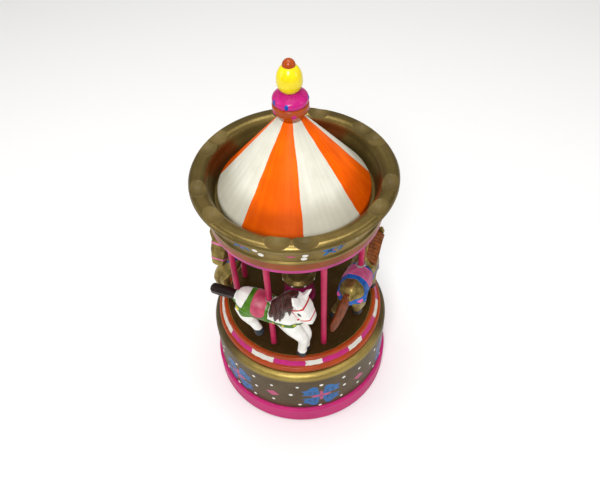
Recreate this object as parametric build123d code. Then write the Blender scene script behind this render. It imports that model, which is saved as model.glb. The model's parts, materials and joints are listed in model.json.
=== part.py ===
from build123d import *
from math import cos, pi, sin
import os

# Wind-up carousel music box: a turned wooden drum holds a pinned-cylinder movement, whose spring
# barrel turns a platform with four horses under a striped roof. Millimetres, +Z up, the origin at
# the centre of the underside, and the front is towards -Y. Angles go from -Y towards +X.

# Foot and drum
drum_radius = 48.3
drum_height = 33.0
drum_wall = 8.3
drum_lid_thickness = 7.7
drum_shoulder = 3.6
drum_cavity_radius = drum_radius - drum_wall
foot_radius = drum_radius + 1.7
foot_bore_radius = foot_radius - 5.0
felt_thickness = 0.8
plinth_top = 13.2
bottom_plate_thickness = 3.5
bottom_plate_radius = foot_bore_radius - 0.4

# Movement
bedplate_thickness = 2.3
bedplate_radius = drum_cavity_radius - 1.5
arbor_radius = 2.2
barrel_radius = 12.6
barrel_height = 5.6
barrel_wall = 0.8
lid_thickness = 0.8
spring_turns = 6
spring_thickness = 0.35
gear_module = 0.5
crown_teeth = 48
pinion_teeth = 12
cylinder_radius = 6.0
cylinder_length = 15.0
cylinder_gear_teeth = 30
governor_pinion_teeth = 18
worm_wheel_teeth = 18
worm_pitch = 1.5
worm_radius = 1.5
fan_radius = 5.2
comb_thickness = 0.8
comb_teeth = 18
pin_radius = 0.25
pin_height = 0.6

# Turning platform, the wave cam under it and the shaft
shaft_radius = 2.0
deck_gap = 0.8
platform_radius = drum_radius - 3.1
platform_height = 7.9
deck_radius = platform_radius - 5.2
bead_rise = 0.6
horse_lift = 4.0
lift_at_rest = 0.65
cam_clearance = 0.3
cam_crest_angle = 43.7
cam_width = 4.6

# Poles and horses
pole_radius = 1.5
pole_circle_radius = deck_radius - 6.0
horse_angles = {"front": -22.5, "right": 67.5, "back": 157.5, "left": -112.5}
raised_horses = ("right", "left")
fixed_pole_angles = (22.5, 112.5, 202.5, 292.5)
hoof_gap = bead_rise + 0.3
horse_stature = 38.9

# Column, roof and finial
post_radius = 8.0
post_height = 16.4
capital_radius = 6.8
headroom = 69.7
canopy_radius = pole_circle_radius + 7.2
canopy_floor_rise = 10.9
rim_rise = 22.6
rim_radius = canopy_radius + 5.5
rim_width = 8.0
rim_inner_radius = rim_radius - rim_width
bowl_radius = rim_inner_radius - 2.3
notch_radius = 7.0
notch_depth = 2.2
notch_angles = (-74.4, -50.4, -7.7, 7.6, 56.1, 77.6, 118.6, 131.6, 164.6, 188.6, 237.6, 249.1)
dome_radius = bowl_radius - 1.6
dome_top_radius = 5.0
dome_height = 40.1
dome_wall = 3.4
collar_radius = 7.5
collar_height = 7.4
bead_radius = 7.35
bead_height = 5.0
ball_radius = 5.2
ball_height = 10.9
tip_radius = 2.65
finial_pin_radius = 1.2

# Fits
glue_gap = 0.03
running_gap = 0.06
body_gap = 0.3

# Levels worked out from the sizes above
drum_top = plinth_top + drum_height
plate_top = plinth_top + bottom_plate_thickness
bed_top = plate_top + bedplate_thickness
barrel_bottom = bed_top + 0.8
barrel_top = barrel_bottom + barrel_height
pinion_radius = gear_module * pinion_teeth / 2
crown_radius = gear_module * crown_teeth / 2
crown_pitch_level = barrel_top + lid_thickness + 0.8
cylinder_level = crown_pitch_level + pinion_radius
cylinder_start = crown_radius + 2.6
cylinder_end = cylinder_start + cylinder_length
cylinder_gear_radius = gear_module * cylinder_gear_teeth / 2
governor_pinion_radius = gear_module * governor_pinion_teeth / 2
governor_y = -cylinder_gear_radius - governor_pinion_radius
worm_wheel_radius = worm_pitch * worm_wheel_teeth / (2 * pi)
worm_x = cylinder_start + 0.5 * cylinder_length
worm_y = governor_y - worm_wheel_radius - worm_radius
gear_width = 1.4
gear_start = cylinder_end + 0.3
rear_post_start = gear_start + gear_width + 0.4
rear_post_width = 1.3
platform_bottom = drum_top + deck_gap
deck_top = platform_bottom + platform_height
cam_crest = platform_bottom
cam_bottom = drum_top - 4.2
pole_bottom = cam_crest + cam_clearance + lift_at_rest
groove_top = pole_bottom + horse_lift - lift_at_rest - 0.6
raised_by = horse_lift - 2 * lift_at_rest
canopy_bottom = deck_top + headroom
canopy_floor = canopy_bottom + canopy_floor_rise
rim_top = canopy_bottom + rim_rise
pole_top = canopy_bottom + 5.0
hoof_level = deck_top + hoof_gap + lift_at_rest
back_level = hoof_level + horse_stature
post_top = deck_top + post_height
dome_top = canopy_floor + dome_height
collar_top = dome_top + collar_height
bead_top = collar_top + bead_height
ball_top = bead_top + ball_height
tip_top = ball_top + tip_radius


def at_angle(angle, radius, z=0.0):
    """Place on a circle about Z, its local +X along the direction of travel."""
    return Rot(0, 0, angle) * Pos(0, -radius, z)


def disc(radius, bottom, top, x=0.0, y=0.0):
    """Upright cylinder between two levels."""
    return Pos(x, y, bottom) * Cylinder(
        radius, top - bottom, align=(Align.CENTER, Align.CENTER, Align.MIN)
    )


def ring(outer, inner, bottom, top, x=0.0, y=0.0):
    """Upright tube between two levels."""
    return disc(outer, bottom, top, x, y) - disc(inner, bottom - 1, top + 1, x, y)


def rod_x(radius, start, end, y, z):
    """Cylinder along X."""
    return Pos(start, y, z) * Rot(0, 90, 0) * disc(radius, 0, end - start)


def block(x, y, z):
    """Box from three (low, high) pairs."""
    size = (x[1] - x[0], y[1] - y[0], z[1] - z[0])
    return Pos(x[0], y[0], z[0]) * Box(*size, align=(Align.MIN, Align.MIN, Align.MIN))


def turned(corners):
    """Solid of revolution about Z from corners given as (radius, level, rounding)."""
    outline = FilletPolyline(
        *[(r, z) for r, z, _ in corners], radius=[f for _, _, f in corners], close=True
    )
    return revolve(Plane.XZ * make_face(outline), Axis.Z)


def spur_gear(teeth, pitch_radius, depth, tooth_share, width, bore):
    """Straight gear standing on the XY plane with one tooth along +X."""
    step = 2 * pi / teeth
    root, tip = pitch_radius - 1.3 * depth, pitch_radius + depth
    half_root, half_tip = step * tooth_share * 0.62, step * tooth_share * 0.36
    points = []
    for tooth in range(teeth):
        middle = tooth * step
        for radius, turn in ((root, -half_root), (tip, -half_tip), (tip, half_tip), (root, half_root)):
            points.append((radius * cos(middle + turn), radius * sin(middle + turn)))
    blank = extrude(make_face(Polyline(*points, close=True)), width)
    return blank - disc(bore, -1, width + 1)


def along_x(shape, start, y, z, turn=0.0):
    """Turn a part built along Z to lie along X; its local +X then points down."""
    return Pos(start, y, z) * Rot(0, 90, 0) * Rot(0, 0, turn) * shape


# ---------------------------------------------------------------- foot and drum


def felt_foot_ring():
    return ring(foot_radius - 0.8, foot_bore_radius + 0.6, 0, felt_thickness)


def plinth_ring():
    return turned(
        [
            (foot_bore_radius, felt_thickness, 0),
            (foot_radius, felt_thickness, 0.6),
            (foot_radius, plinth_top, 1.2),
            (foot_bore_radius, plinth_top, 0),
        ]
    )


plate_screw_circle = (drum_cavity_radius + bottom_plate_radius) / 2
plate_screw_angles = (45, 135, 225, 315)


def base_drum():
    rebate = bottom_plate_radius + glue_gap
    ceiling = drum_top - drum_lid_thickness
    bore = shaft_radius + running_gap + 2.5 + glue_gap
    body = turned(
        [
            (bore, ceiling, 0),
            (drum_cavity_radius, ceiling, 1.5),
            (drum_cavity_radius, plate_top, 0),
            (rebate, plate_top, 0),
            (rebate, plinth_top, 0),
            (drum_radius, plinth_top, 0),
            (drum_radius, drum_top, drum_shoulder),
            (bore, drum_top, 0),
        ]
    )
    half = cam_width / 2 + glue_gap
    body -= ring(pole_circle_radius + half, pole_circle_radius - half, cam_bottom, drum_top + 1)
    for angle in plate_screw_angles:
        body -= at_angle(angle, plate_screw_circle) * disc(1.0 + glue_gap, plate_top - 1, plinth_top + 12)
    return body


def screw(head_radius, shank_radius, head_bottom, head_top, tip):
    """Wood screw along Z: a flat head, then a shank to its tip level."""
    low, high = sorted((head_top, tip)) if tip > head_top else (tip, head_bottom)
    return disc(head_radius, head_bottom, head_top) + disc(shank_radius, low, high)


def bottom_plate():
    plate = disc(bottom_plate_radius, plinth_top, plate_top) - disc(arbor_radius + 2.8, 0, 20)
    for angle in plate_screw_angles:
        place = at_angle(angle, plate_screw_circle)
        plate -= place * disc(1.0 + glue_gap, 0, 20)
        plate -= place * disc(1.9 + glue_gap, plinth_top - 1, plinth_top + 1.1)
    for x, y in bed_screws:
        plate -= disc(1.1 + glue_gap, 0, 20, x, y)
    return plate


def bottom_plate_screws():
    one = screw(1.9, 1.0, plinth_top, plinth_top + 1.1, plinth_top + 11)
    return Compound(children=[at_angle(angle, plate_screw_circle) * one for angle in plate_screw_angles])


# ---------------------------------------------------------------- movement

bed_screws = ((-10.0, -15.0), (-10.0, 15.0), (25.0, -23.5), (32.0, 8.0))
comb_screw_x = [cylinder_start + cylinder_length * share for share in (0.16, 0.5, 0.84)]
comb_tip = cylinder_radius + pin_height + 0.35
comb_back = comb_tip + 15.5
comb_screw_y = comb_back - 3.5
comb_bottom = cylinder_level - comb_thickness / 2
comb_top = cylinder_level + comb_thickness / 2


def bedplate():
    slab = block((-16, cylinder_end + 4.6), (-26, comb_back + 0.5), (plate_top, bed_top))
    slab = slab & disc(bedplate_radius, plate_top, bed_top)
    slab += block((cylinder_start, cylinder_end), (comb_back - 7, comb_back), (bed_top, comb_bottom))
    slab -= disc(arbor_radius + running_gap, 0, bed_top + 1)
    for x, y in bed_screws:
        slab -= disc(1.1 + glue_gap, 0, bed_top + 1, x, y)
    for x in comb_screw_x:
        slab -= disc(0.9 + glue_gap, comb_bottom - 5, comb_bottom + 1, x, comb_screw_y)
    return slab


def movement_screws():
    one = screw(2.3, 1.1, plinth_top - 0.9, plinth_top, bed_top)
    return Compound(children=[Pos(x, y) * one for x, y in bed_screws])


def bearing_posts():
    """One post each end of the cylinder; the rear one also carries the governor arbor."""
    hole = 1.0 + running_gap
    high = cylinder_level + 3
    front_x = (cylinder_start - 1.1, cylinder_start - 0.3)
    rear_x = (rear_post_start, rear_post_start + rear_post_width)
    front = block(front_x, (-3, 3), (bed_top, high))
    rear = block(rear_x, (governor_y - 2.5, 3), (bed_top, high))
    front -= rod_x(hole, front_x[0] - 1, front_x[1] + 1, 0, cylinder_level)
    rear -= rod_x(hole, rear_x[0] - 1, rear_x[1] + 1, 0, cylinder_level)
    rear -= rod_x(0.7 + running_gap, rear_x[0] - 1, rear_x[1] + 1, governor_y, cylinder_level)
    return Compound(children=[front, rear])


def clutch_spring():
    """Wrap spring round the winding arbor, which lets it turn one way only."""
    wire = 0.4
    path = Helix(0.95, 2.4, arbor_radius + running_gap + wire)
    section = Plane(origin=path @ 0, z_dir=path % 0) * Circle(wire)
    return Pos(0, 0, plate_top - 3.0) * sweep(section, path, is_frenet=True)


def comb():
    x = (cylinder_start, cylinder_end)
    plate = block(x, (comb_tip, comb_back), (comb_bottom, comb_top))
    pitch = cylinder_length / comb_teeth
    for tooth in range(1, comb_teeth):
        middle = x[0] + tooth * pitch
        plate -= block((middle - 0.12, middle + 0.12), (comb_tip - 1, comb_tip + 9), (0, comb_top + 1))
    for x_screw in comb_screw_x:
        plate -= disc(0.9 + glue_gap, 0, comb_top + 1, x_screw, comb_screw_y)
    return plate


def comb_screws():
    one = disc(1.6, comb_top, comb_top + 1.2) + disc(0.9, comb_bottom - 4.5, comb_top)
    one -= block((-2, 2), (-0.2, 0.2), (comb_top + 0.7, comb_top + 2))
    return Compound(children=[Pos(x, comb_screw_y) * one for x in comb_screw_x])


def governor_bracket():
    """Upright with a foot and a top arm, which hold the two ends of the worm's arbor."""
    x = (worm_x - fan_radius - 4.4, worm_x - fan_radius - 1.8)
    y = (worm_y - 2.2, worm_y + 2.2)
    top = cylinder_level + 7.2
    frame = block(x, y, (bed_top, top))
    frame += block((x[0], worm_x + 2.2), y, (bed_top, bed_top + 1.0))
    frame += block((x[0], worm_x + 2.2), y, (top - 1.2, top))
    return frame - disc(0.6 + running_gap, bed_top - 1, top + 1, worm_x, worm_y)


def governor_wheel_post():
    """Short plate that carries the governor arbor's inner end."""
    x = (worm_x - 5.6, worm_x - 4.6)
    plate = block(x, (governor_y - 2.2, governor_y + 2.2), (bed_top, cylinder_level + 2))
    return plate - rod_x(0.7 + running_gap, x[0] - 1, x[1] + 1, governor_y, cylinder_level)


def music_cylinder():
    tube = rod_x(cylinder_radius, cylinder_start, cylinder_end, 0, cylinder_level)
    return tube - rod_x(1.0, cylinder_start - 1, cylinder_end + 1, 0, cylinder_level)


def cylinder_pins():
    """Pins in 18 tracks, one under each comb tooth, at angles clear of the comb's tips at rest."""
    pitch = cylinder_length / comb_teeth
    pins = []
    for number in range(54):
        track, angle = (7 * number) % comb_teeth, 100 + 310 * number / 54
        pin = disc(pin_radius, cylinder_radius - 0.5, cylinder_radius + pin_height)
        place = Pos(cylinder_start + (track + 0.5) * pitch, 0, cylinder_level)
        pins.append(place * Rot(angle, 0, 0) * pin)
    return Compound(children=pins)


def cylinder_arbor():
    return rod_x(1.0, crown_radius - 1.4, rear_post_start + rear_post_width + 0.4, 0, cylinder_level)


def cylinder_pinion():
    gear = spur_gear(pinion_teeth, pinion_radius, 0.55, 0.42, 1.8, 1.0)
    return along_x(gear, crown_radius - 0.9, 0, cylinder_level)


def cylinder_gear():
    gear = spur_gear(cylinder_gear_teeth, cylinder_gear_radius, 0.42, 0.42, gear_width, 1.0)
    for spoke in range(5):
        gear -= Rot(0, 0, 72 * spoke) * disc(1.3, -1, gear_width + 1, 4.1, 0)
    return along_x(gear, gear_start, 0, cylinder_level)


def governor_pinion():
    half_tooth = 180 / governor_pinion_teeth
    gear = spur_gear(governor_pinion_teeth, governor_pinion_radius, 0.42, 0.42, gear_width, 0.7)
    return along_x(gear, gear_start, governor_y, cylinder_level, half_tooth)


def governor_wheel():
    wheel = spur_gear(worm_wheel_teeth, worm_wheel_radius, 0.4, 0.42, 1.2, 0.7)
    return along_x(wheel, worm_x - 0.6, governor_y, cylinder_level)


def governor_arbor():
    return rod_x(0.7, worm_x - 5.8, rear_post_start + rear_post_width + 0.3, governor_y, cylinder_level)


def governor_worm():
    """Right-handed thread on a thin arbor; its thread fills a gap of the wheel at mid height."""
    path = Helix(worm_pitch, 4 * worm_pitch, worm_radius)
    half = 0.16 * worm_pitch
    section = Plane(origin=path @ 0, x_dir=(1, 0, 0), z_dir=path % 0) * make_face(
        Polyline(
            (-0.75, -half * 1.5), (0.36, -half * 0.7), (0.36, half * 0.7), (-0.75, half * 1.5), close=True
        )
    )
    start = cylinder_level - 2.25 * worm_pitch
    thread = Pos(worm_x, worm_y, start) * sweep(section, path, is_frenet=True)
    core = disc(0.9, start - 1.2, start + 4 * worm_pitch + 1.2, worm_x, worm_y)
    arbor = disc(0.6, bed_top + 0.2, cylinder_level + 7.0, worm_x, worm_y)
    return arbor + core + thread


def air_brake_fan():
    """Two paddles on a hub, spun fast to hold the tempo steady."""
    low = bed_top + 1.5
    high = cylinder_level - worm_wheel_radius - 1.2
    hub = ring(1.4, 0.6, low, high, worm_x, worm_y)
    wing = block((1.3, fan_radius), (-0.25, 0.25), (low + 0.3, high))
    return hub + Pos(worm_x, worm_y) * wing + Pos(worm_x, worm_y) * Rot(0, 0, 180) * wing


def spring_barrel():
    cup = disc(barrel_radius, barrel_bottom, barrel_top)
    cup -= disc(barrel_radius - barrel_wall, barrel_bottom + barrel_wall, barrel_top + 1)
    return cup - disc(arbor_radius + running_gap, 0, barrel_top)


def barrel_lid():
    """Lid whose upright crown teeth drive the cylinder's pinion; a tooth gap faces +X."""
    plate_level = barrel_top + lid_thickness
    outer, inner = crown_radius + 1.1, crown_radius - 1.1
    lid = disc(outer, barrel_top, plate_level)
    lid += ring(outer, inner, plate_level - 0.1, crown_pitch_level + 0.5)
    slots = []
    gap = 2 * pi * crown_radius / crown_teeth - 0.52
    for tooth in range(crown_teeth):
        slot = block((inner - 0.5, outer + 0.5), (-gap / 2, gap / 2), (plate_level, plate_level + 3))
        slots.append(Rot(0, 0, tooth * 360 / crown_teeth) * slot)
    return lid - slots


def mainspring():
    """Spiral strip between the arbor and the barrel's wall."""
    inner = arbor_radius + 1.4
    outer = barrel_radius - barrel_wall - body_gap - spring_thickness
    steps = spring_turns * 20
    inside, outside = [], []
    for step in range(steps + 1):
        turn = 2 * pi * spring_turns * step / steps
        radius = inner + (outer - inner) * step / steps
        inside.append((radius * cos(turn), radius * sin(turn)))
        outside.append(((radius + spring_thickness) * cos(turn), (radius + spring_thickness) * sin(turn)))
    strip = make_face(Polyline(*inside, *reversed(outside), close=True))
    low = barrel_bottom + barrel_wall + body_gap
    return Pos(0, 0, low) * extrude(strip, barrel_top - body_gap - low)


def winding_arbor():
    return disc(arbor_radius, plinth_top - 5.0, barrel_top - 0.6)


def winding_key():
    """Butterfly key in the foot's recess, on the lower end of the winding arbor."""
    low = felt_thickness + 1.8
    wing = Plane.YZ * make_face(
        FilletPolyline(
            (-11, low), (11, low), (8.5, plinth_top - 3.2), (-8.5, plinth_top - 3.2), radius=3, close=True
        )
    )
    key = extrude(wing, 0.8, both=True)
    for side in (-6.8, 6.8):
        key -= Pos(0, side, low + 3.8) * Rot(0, 90, 0) * Cylinder(2.1, 6)
    key += disc(3.4, plinth_top - 7.5, plinth_top - 1.2)
    return key - disc(arbor_radius, plinth_top - 5.0, plinth_top)


# ---------------------------------------------------------------- shaft, cam and platform


def output_shaft():
    return disc(shaft_radius, barrel_top + lid_thickness, post_top - 5) + disc(
        4.5, barrel_top + lid_thickness, barrel_top + lid_thickness + 1.2
    )


def top_bushing():
    inner = shaft_radius + running_gap
    ceiling = drum_top - drum_lid_thickness
    return ring(inner + 2.5, inner, ceiling, drum_top) + ring(inner + 4.5, inner, ceiling - 0.8, ceiling)


def thrust_washer():
    return ring(8.5, shaft_radius + body_gap, drum_top, platform_bottom - running_gap)


def cam_ring():
    """Ring whose top is planed to one long arch, so that it has two crests and two valleys."""
    half = cam_width / 2
    blank = ring(pole_circle_radius + half, pole_circle_radius - half, cam_bottom, cam_crest)
    arch = (pole_circle_radius**2 + horse_lift**2) / (2 * horse_lift)
    top = Pos(0, 0, cam_crest - arch) * Rot(90, 0, 0) * Cylinder(arch, 4 * pole_circle_radius)
    return Rot(0, 0, cam_crest_angle) * (blank & top)


hub_radius = shaft_radius + 7.0
hub_neck_radius = shaft_radius + 1.5
hub_screw_circle = shaft_radius + 4.3
hub_screw_angles = (0, 120, 240)


def drive_hub():
    hub = disc(hub_radius, platform_bottom, platform_bottom + 2)
    hub += disc(hub_neck_radius, platform_bottom, deck_top - 2)
    hub -= disc(shaft_radius, 0, deck_top)
    for angle in hub_screw_angles:
        hub -= at_angle(angle, hub_screw_circle) * disc(0.8 + glue_gap, 0, deck_top)
        hub -= at_angle(angle, hub_screw_circle) * disc(1.5 + glue_gap, 0, platform_bottom + 0.9)
    return hub


def hub_screws():
    one = screw(1.5, 0.8, platform_bottom, platform_bottom + 0.9, deck_top - 2.2)
    return Compound(children=[at_angle(angle, hub_screw_circle) * one for angle in hub_screw_angles])


def platform():
    """Turned disc: a round bead at the rim, a sloping band above it, a second bead round the deck."""
    lower = platform_bottom + 3.8
    body = turned(
        [
            (0, platform_bottom, 0),
            (platform_radius, platform_bottom, 1.2),
            (platform_radius, lower, 1.1),
            (platform_radius - 1.4, lower + 0.1, 0),
            (deck_radius + 2.1, deck_top - 0.9, 0),
            (deck_radius + 1.9, deck_top + bead_rise, 0.5),
            (deck_radius, deck_top + bead_rise, 0.5),
            (deck_radius - 0.3, deck_top, 0),
            (0, deck_top, 0),
        ]
    )
    half = cam_width / 2 + 0.7
    body -= ring(pole_circle_radius + half, pole_circle_radius - half, platform_bottom - 1, groove_top)
    body -= disc(hub_radius + glue_gap, platform_bottom - 1, platform_bottom + 2)
    body -= disc(hub_neck_radius + glue_gap, 0, deck_top - 2) + disc(shaft_radius + glue_gap, 0, deck_top + 1)
    for angle in hub_screw_angles:
        body -= at_angle(angle, hub_screw_circle) * disc(0.8 + glue_gap, 0, deck_top - 2.2)
    for angle in horse_angles.values():
        body -= at_angle(angle, pole_circle_radius) * disc(pole_radius + 0.6 + glue_gap, 0, deck_top + 1)
    for angle in fixed_pole_angles:
        hole = disc(pole_radius + glue_gap, deck_top - 3.0, deck_top + 1)
        body -= at_angle(angle, pole_circle_radius) * hole
    return body


def pole_eyelets():
    """Brass eyelets that the horses' poles slide in."""
    bore = pole_radius + running_gap
    one = ring(pole_radius + 0.6, bore, groove_top, deck_top)
    one += ring(pole_radius + 1.2, bore, deck_top, deck_top + 0.4)
    return Compound(children=[at_angle(a, pole_circle_radius) * one for a in horse_angles.values()])


def fixed_poles():
    one = disc(pole_radius, deck_top - 3.0, pole_top)
    return Compound(children=[at_angle(a, pole_circle_radius) * one for a in fixed_pole_angles])


# ---------------------------------------------------------------- column, roof and finial


def column_post():
    post = turned(
        [
            (0, deck_top, 0),
            (post_radius + 0.8, deck_top, 0),
            (post_radius + 0.8, deck_top + 1.6, 0.6),
            (post_radius, deck_top + 2.2, 0),
            (post_radius, post_top, 0),
            (0, post_top, 0),
        ]
    )
    shaft_bore = disc(shaft_radius + glue_gap, 0, post_top - 5)
    dowel_bore = disc(2.0 + glue_gap, post_top - 4, post_top + 1)
    return post - shaft_bore - dowel_bore


def column_capital():
    """Gold upper column with a flared foot and a flared top."""
    flange = post_radius + 1.1
    body = turned(
        [
            (0, post_top, 0),
            (flange, post_top, 0.4),
            (flange, post_top + 1.8, 0.8),
            (capital_radius, post_top + 3.6, 1.2),
            (capital_radius - 0.6, canopy_bottom - 6.0, 2.0),
            (flange, canopy_bottom - 2.0, 0.8),
            (flange, canopy_bottom, 0),
            (0, canopy_bottom, 0),
        ]
    )
    body -= disc(2.0 + glue_gap, post_top - 1, post_top + 5)
    return body - disc(1.8 + glue_gap, canopy_bottom - 13, canopy_bottom + 1)


def column_dowel():
    return disc(2.0, post_top - 4, post_top + 5)


def canopy_screw():
    return disc(1.8, canopy_bottom - 12.5, canopy_floor) + disc(4.0, canopy_floor - 2.2, canopy_floor)


def rim_notches():
    """Hand-cut scoops in the rounded top of the rim, unevenly spaced."""
    level = rim_top + notch_radius - notch_depth
    middle = rim_radius - rim_width / 2 - 0.2
    return Compound(children=[at_angle(angle, middle, level) * Sphere(notch_radius) for angle in notch_angles])


def canopy_ring():
    """Turned frieze below, flared bowl above, open at the top round the dome."""
    body = turned(
        [
            (0, canopy_bottom, 0),
            (canopy_radius - 0.3, canopy_bottom, 0.4),
            (canopy_radius - 0.3, canopy_bottom + 2.2, 0),
            (canopy_radius, canopy_bottom + 2.3, 0),
            (canopy_radius, canopy_bottom + 6.4, 0),
            (canopy_radius + 0.6, canopy_bottom + 6.9, 0),
            (canopy_radius + 0.6, canopy_bottom + 7.7, 0),
            (canopy_radius - 0.2, canopy_bottom + 8.2, 0),
            (canopy_radius - 0.4, canopy_bottom + 11.4, 0),
            (canopy_radius + 0.4, canopy_bottom + 16.0, 3.0),
            (rim_radius, rim_top - 2.6, 1.4),
            (rim_radius, rim_top, 2.5),
            (rim_inner_radius, rim_top, 3.6),
            (rim_inner_radius - 0.6, rim_top - 5.0, 0),
            (bowl_radius, canopy_floor + 1.0, 0),
            (bowl_radius, canopy_floor, 0),
            (0, canopy_floor, 0),
        ]
    )
    body -= rim_notches()
    body -= disc(1.8 + glue_gap, 0, canopy_floor + 1)
    body -= disc(4.0 + glue_gap, canopy_floor - 2.2, canopy_floor + 1)
    for angle in fixed_pole_angles:
        body -= at_angle(angle, pole_circle_radius) * disc(pole_radius + glue_gap, 0, pole_top)
    for angle in horse_angles.values():
        hole = disc(pole_radius + running_gap, 0, pole_top + horse_lift + 1.0)
        body -= at_angle(angle, pole_circle_radius) * hole
    return body


def dome():
    """Roof cone, straight-sided, with a rounded lower edge on a short upright wall."""
    body = turned(
        [
            (0, canopy_floor, 0),
            (dome_radius, canopy_floor, 0),
            (dome_radius, canopy_floor + dome_wall, 2.8),
            (dome_top_radius, dome_top, 0),
            (0, dome_top, 0),
        ]
    )
    return body - disc(finial_pin_radius + glue_gap, dome_top - 10, dome_top + 1)


def finial_bore(low, high):
    return disc(finial_pin_radius + glue_gap, low, high)


def finial_collar():
    """Bowl-shaped bead, narrow where it meets the roof."""
    body = turned(
        [
            (0, dome_top, 0),
            (dome_top_radius - 0.4, dome_top, 0.3),
            (collar_radius, dome_top + 0.55 * collar_height, 2.6),
            (collar_radius, collar_top - 0.5, 0.9),
            (collar_radius - 1.0, collar_top, 0),
            (0, collar_top, 0),
        ]
    )
    return body - finial_bore(0, collar_top + 1)


def finial_bead():
    body = turned(
        [
            (0, collar_top, 0),
            (bead_radius, collar_top, 0.7),
            (bead_radius, collar_top + 0.5 * bead_height, 2.2),
            (bead_radius - 3.6, bead_top, 0.8),
            (0, bead_top, 0),
        ]
    )
    return body - finial_bore(0, bead_top + 1)


def finial_ball():
    """Egg-shaped bead: a round outline between a broad seat and a small flat top."""
    middle = bead_top + 0.46 * ball_height
    seat, crown = 0.6 * ball_radius, 0.5 * ball_radius
    outline = Line((0, bead_top), (seat, bead_top))
    below = (0.9 * ball_radius, bead_top + 0.17 * ball_height)
    above = (0.87 * ball_radius, middle + 0.3 * ball_height)
    outline += ThreePointArc((seat, bead_top), below, (ball_radius, middle))
    outline += ThreePointArc((ball_radius, middle), above, (crown, ball_top))
    outline += Line((crown, ball_top), (0, ball_top))
    outline += Line((0, ball_top), (0, bead_top))
    return revolve(Plane.XZ * make_face(outline), Axis.Z) - finial_bore(0, ball_top + 1)


def finial_tip():
    """Half ball on the very top."""
    tip = Pos(0, 0, ball_top) * Sphere(tip_radius) & disc(tip_radius + 1, ball_top, tip_top + 1)
    return tip - finial_bore(0, ball_top + 1.0)


def finial_pin():
    return disc(finial_pin_radius, dome_top - 9.5, ball_top + 1.0)


# ---------------------------------------------------------------- horses


def limb(points):
    """Round limb through points given as (along, across, level, radius): cones between balls."""
    parts = []
    for x, y, z, radius in points:
        parts.append(Pos(x, y, z) * Sphere(radius))
    for (xa, ya, za, ra), (xb, yb, zb, rb) in zip(points, points[1:]):
        way = Vector(xb - xa, yb - ya, zb - za)
        place = Plane(origin=(xa, ya, za), z_dir=way.normalized())
        align = (Align.CENTER, Align.CENTER, Align.MIN)
        near_equal = abs(ra - rb) < 1e-3
        parts.append(
            place * (
                Cylinder(ra, way.length, align=align)
                if near_equal
                else Cone(ra, rb, way.length, align=align)
            )
        )
    return parts


def horse_shape():
    """Jumping horse that faces +X, with its back at level 0 and its front hooves at the stature below."""
    torso = limb([(-10.5, 0, -9.2, 7.6), (0, 0, -9.6, 7.0), (9, 0, -8.6, 7.0)])
    neck = limb([(9, 0, -6.5, 6.0), (12.5, 0, 4.2, 4.4)])
    head = limb([(12.5, 0, 4.2, 4.4), (16.0, 0, -2.0, 3.8), (21.0, 0, -9.6, 2.7)])
    parts = torso + neck + head
    hoof = 2.4 - horse_stature
    for side, reach in ((-2.9, 0.0), (2.9, -0.6)):
        parts += limb([
            (10, side, -12, 4.4),
            (18.4 + reach, side, -21.6, 3.0),
            (17.8 + reach, side, -29, 2.1),
            (17.0 + reach, side, hoof, 2.4),
        ])
    for side, back in ((-3.5, 0.0), (3.5, -3.5)):
        parts += limb([
            (-11.5, side, -12, 5.0),
            (-10.5 + back, side, -21, 3.3),
            (-7.5 + back, side, -27, 2.2),
            (-6.0 + back, side, hoof + 4.2, 2.4),
        ])
    for side in (-2.4, 2.4):
        parts.append(Pos(12.0, side, 8.6) * Rot(0, -12, 0) * Cone(1.5, 0.3, 4.2))
    whole = parts[0]
    return whole.fuse(*parts[1:])


def horse_tail(raised):
    """A straight tail held out behind, or one that hangs down."""
    if raised:
        return limb([(-17.0, 0, -7.0, 2.3), (-31.0, 0, -10.0, 1.5)])
    return limb([(-16.5, 0, -5.0, 2.3), (-22.0, 0, -11.0, 2.2), (-24.5, 0, -24.0, 1.2)])


def horses(write):
    """Four horses, each a carved body, a glued tail and a sliding pole."""
    body = horse_shape()
    bore = Cylinder(pole_radius, 60)
    for name, angle in horse_angles.items():
        raised = raised_by if name in raised_horses else 0.0
        place = at_angle(angle, pole_circle_radius, back_level + raised)
        tail = horse_tail(name not in raised_horses)
        tail = tail[0].fuse(*tail[1:]) - body
        write(f"horse_{name}_body", place * (body - bore))
        write(f"horse_{name}_tail", place * tail)
        pole = disc(pole_radius, pole_bottom + raised, pole_top + raised)
        write(f"horse_{name}_pole", at_angle(angle, pole_circle_radius) * pole)


def write_part(name, shape):
    export_step(shape, f"parts/{name}.step")


single_parts = [
    felt_foot_ring, plinth_ring, base_drum, bottom_plate, bottom_plate_screws, bedplate, movement_screws,
    bearing_posts, clutch_spring, comb, comb_screws, governor_bracket, governor_wheel_post, top_bushing,
    thrust_washer, cam_ring, music_cylinder, cylinder_pins, cylinder_arbor, cylinder_pinion, cylinder_gear,
    governor_wheel, governor_pinion, governor_arbor, governor_worm, air_brake_fan, winding_key,
    winding_arbor, spring_barrel, barrel_lid, mainspring, output_shaft, drive_hub, hub_screws, platform,
    pole_eyelets, fixed_poles, column_post, column_capital, column_dowel, canopy_ring, canopy_screw, dome,
    finial_collar, finial_bead, finial_ball, finial_tip, finial_pin,
]

os.makedirs("parts", exist_ok=True)
for make in single_parts:
    write_part(make.__name__, make())
horses(write_part)
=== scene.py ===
import json
import math
import bmesh
import bpy
import numpy as np
from mathutils import Matrix, Vector


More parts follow.
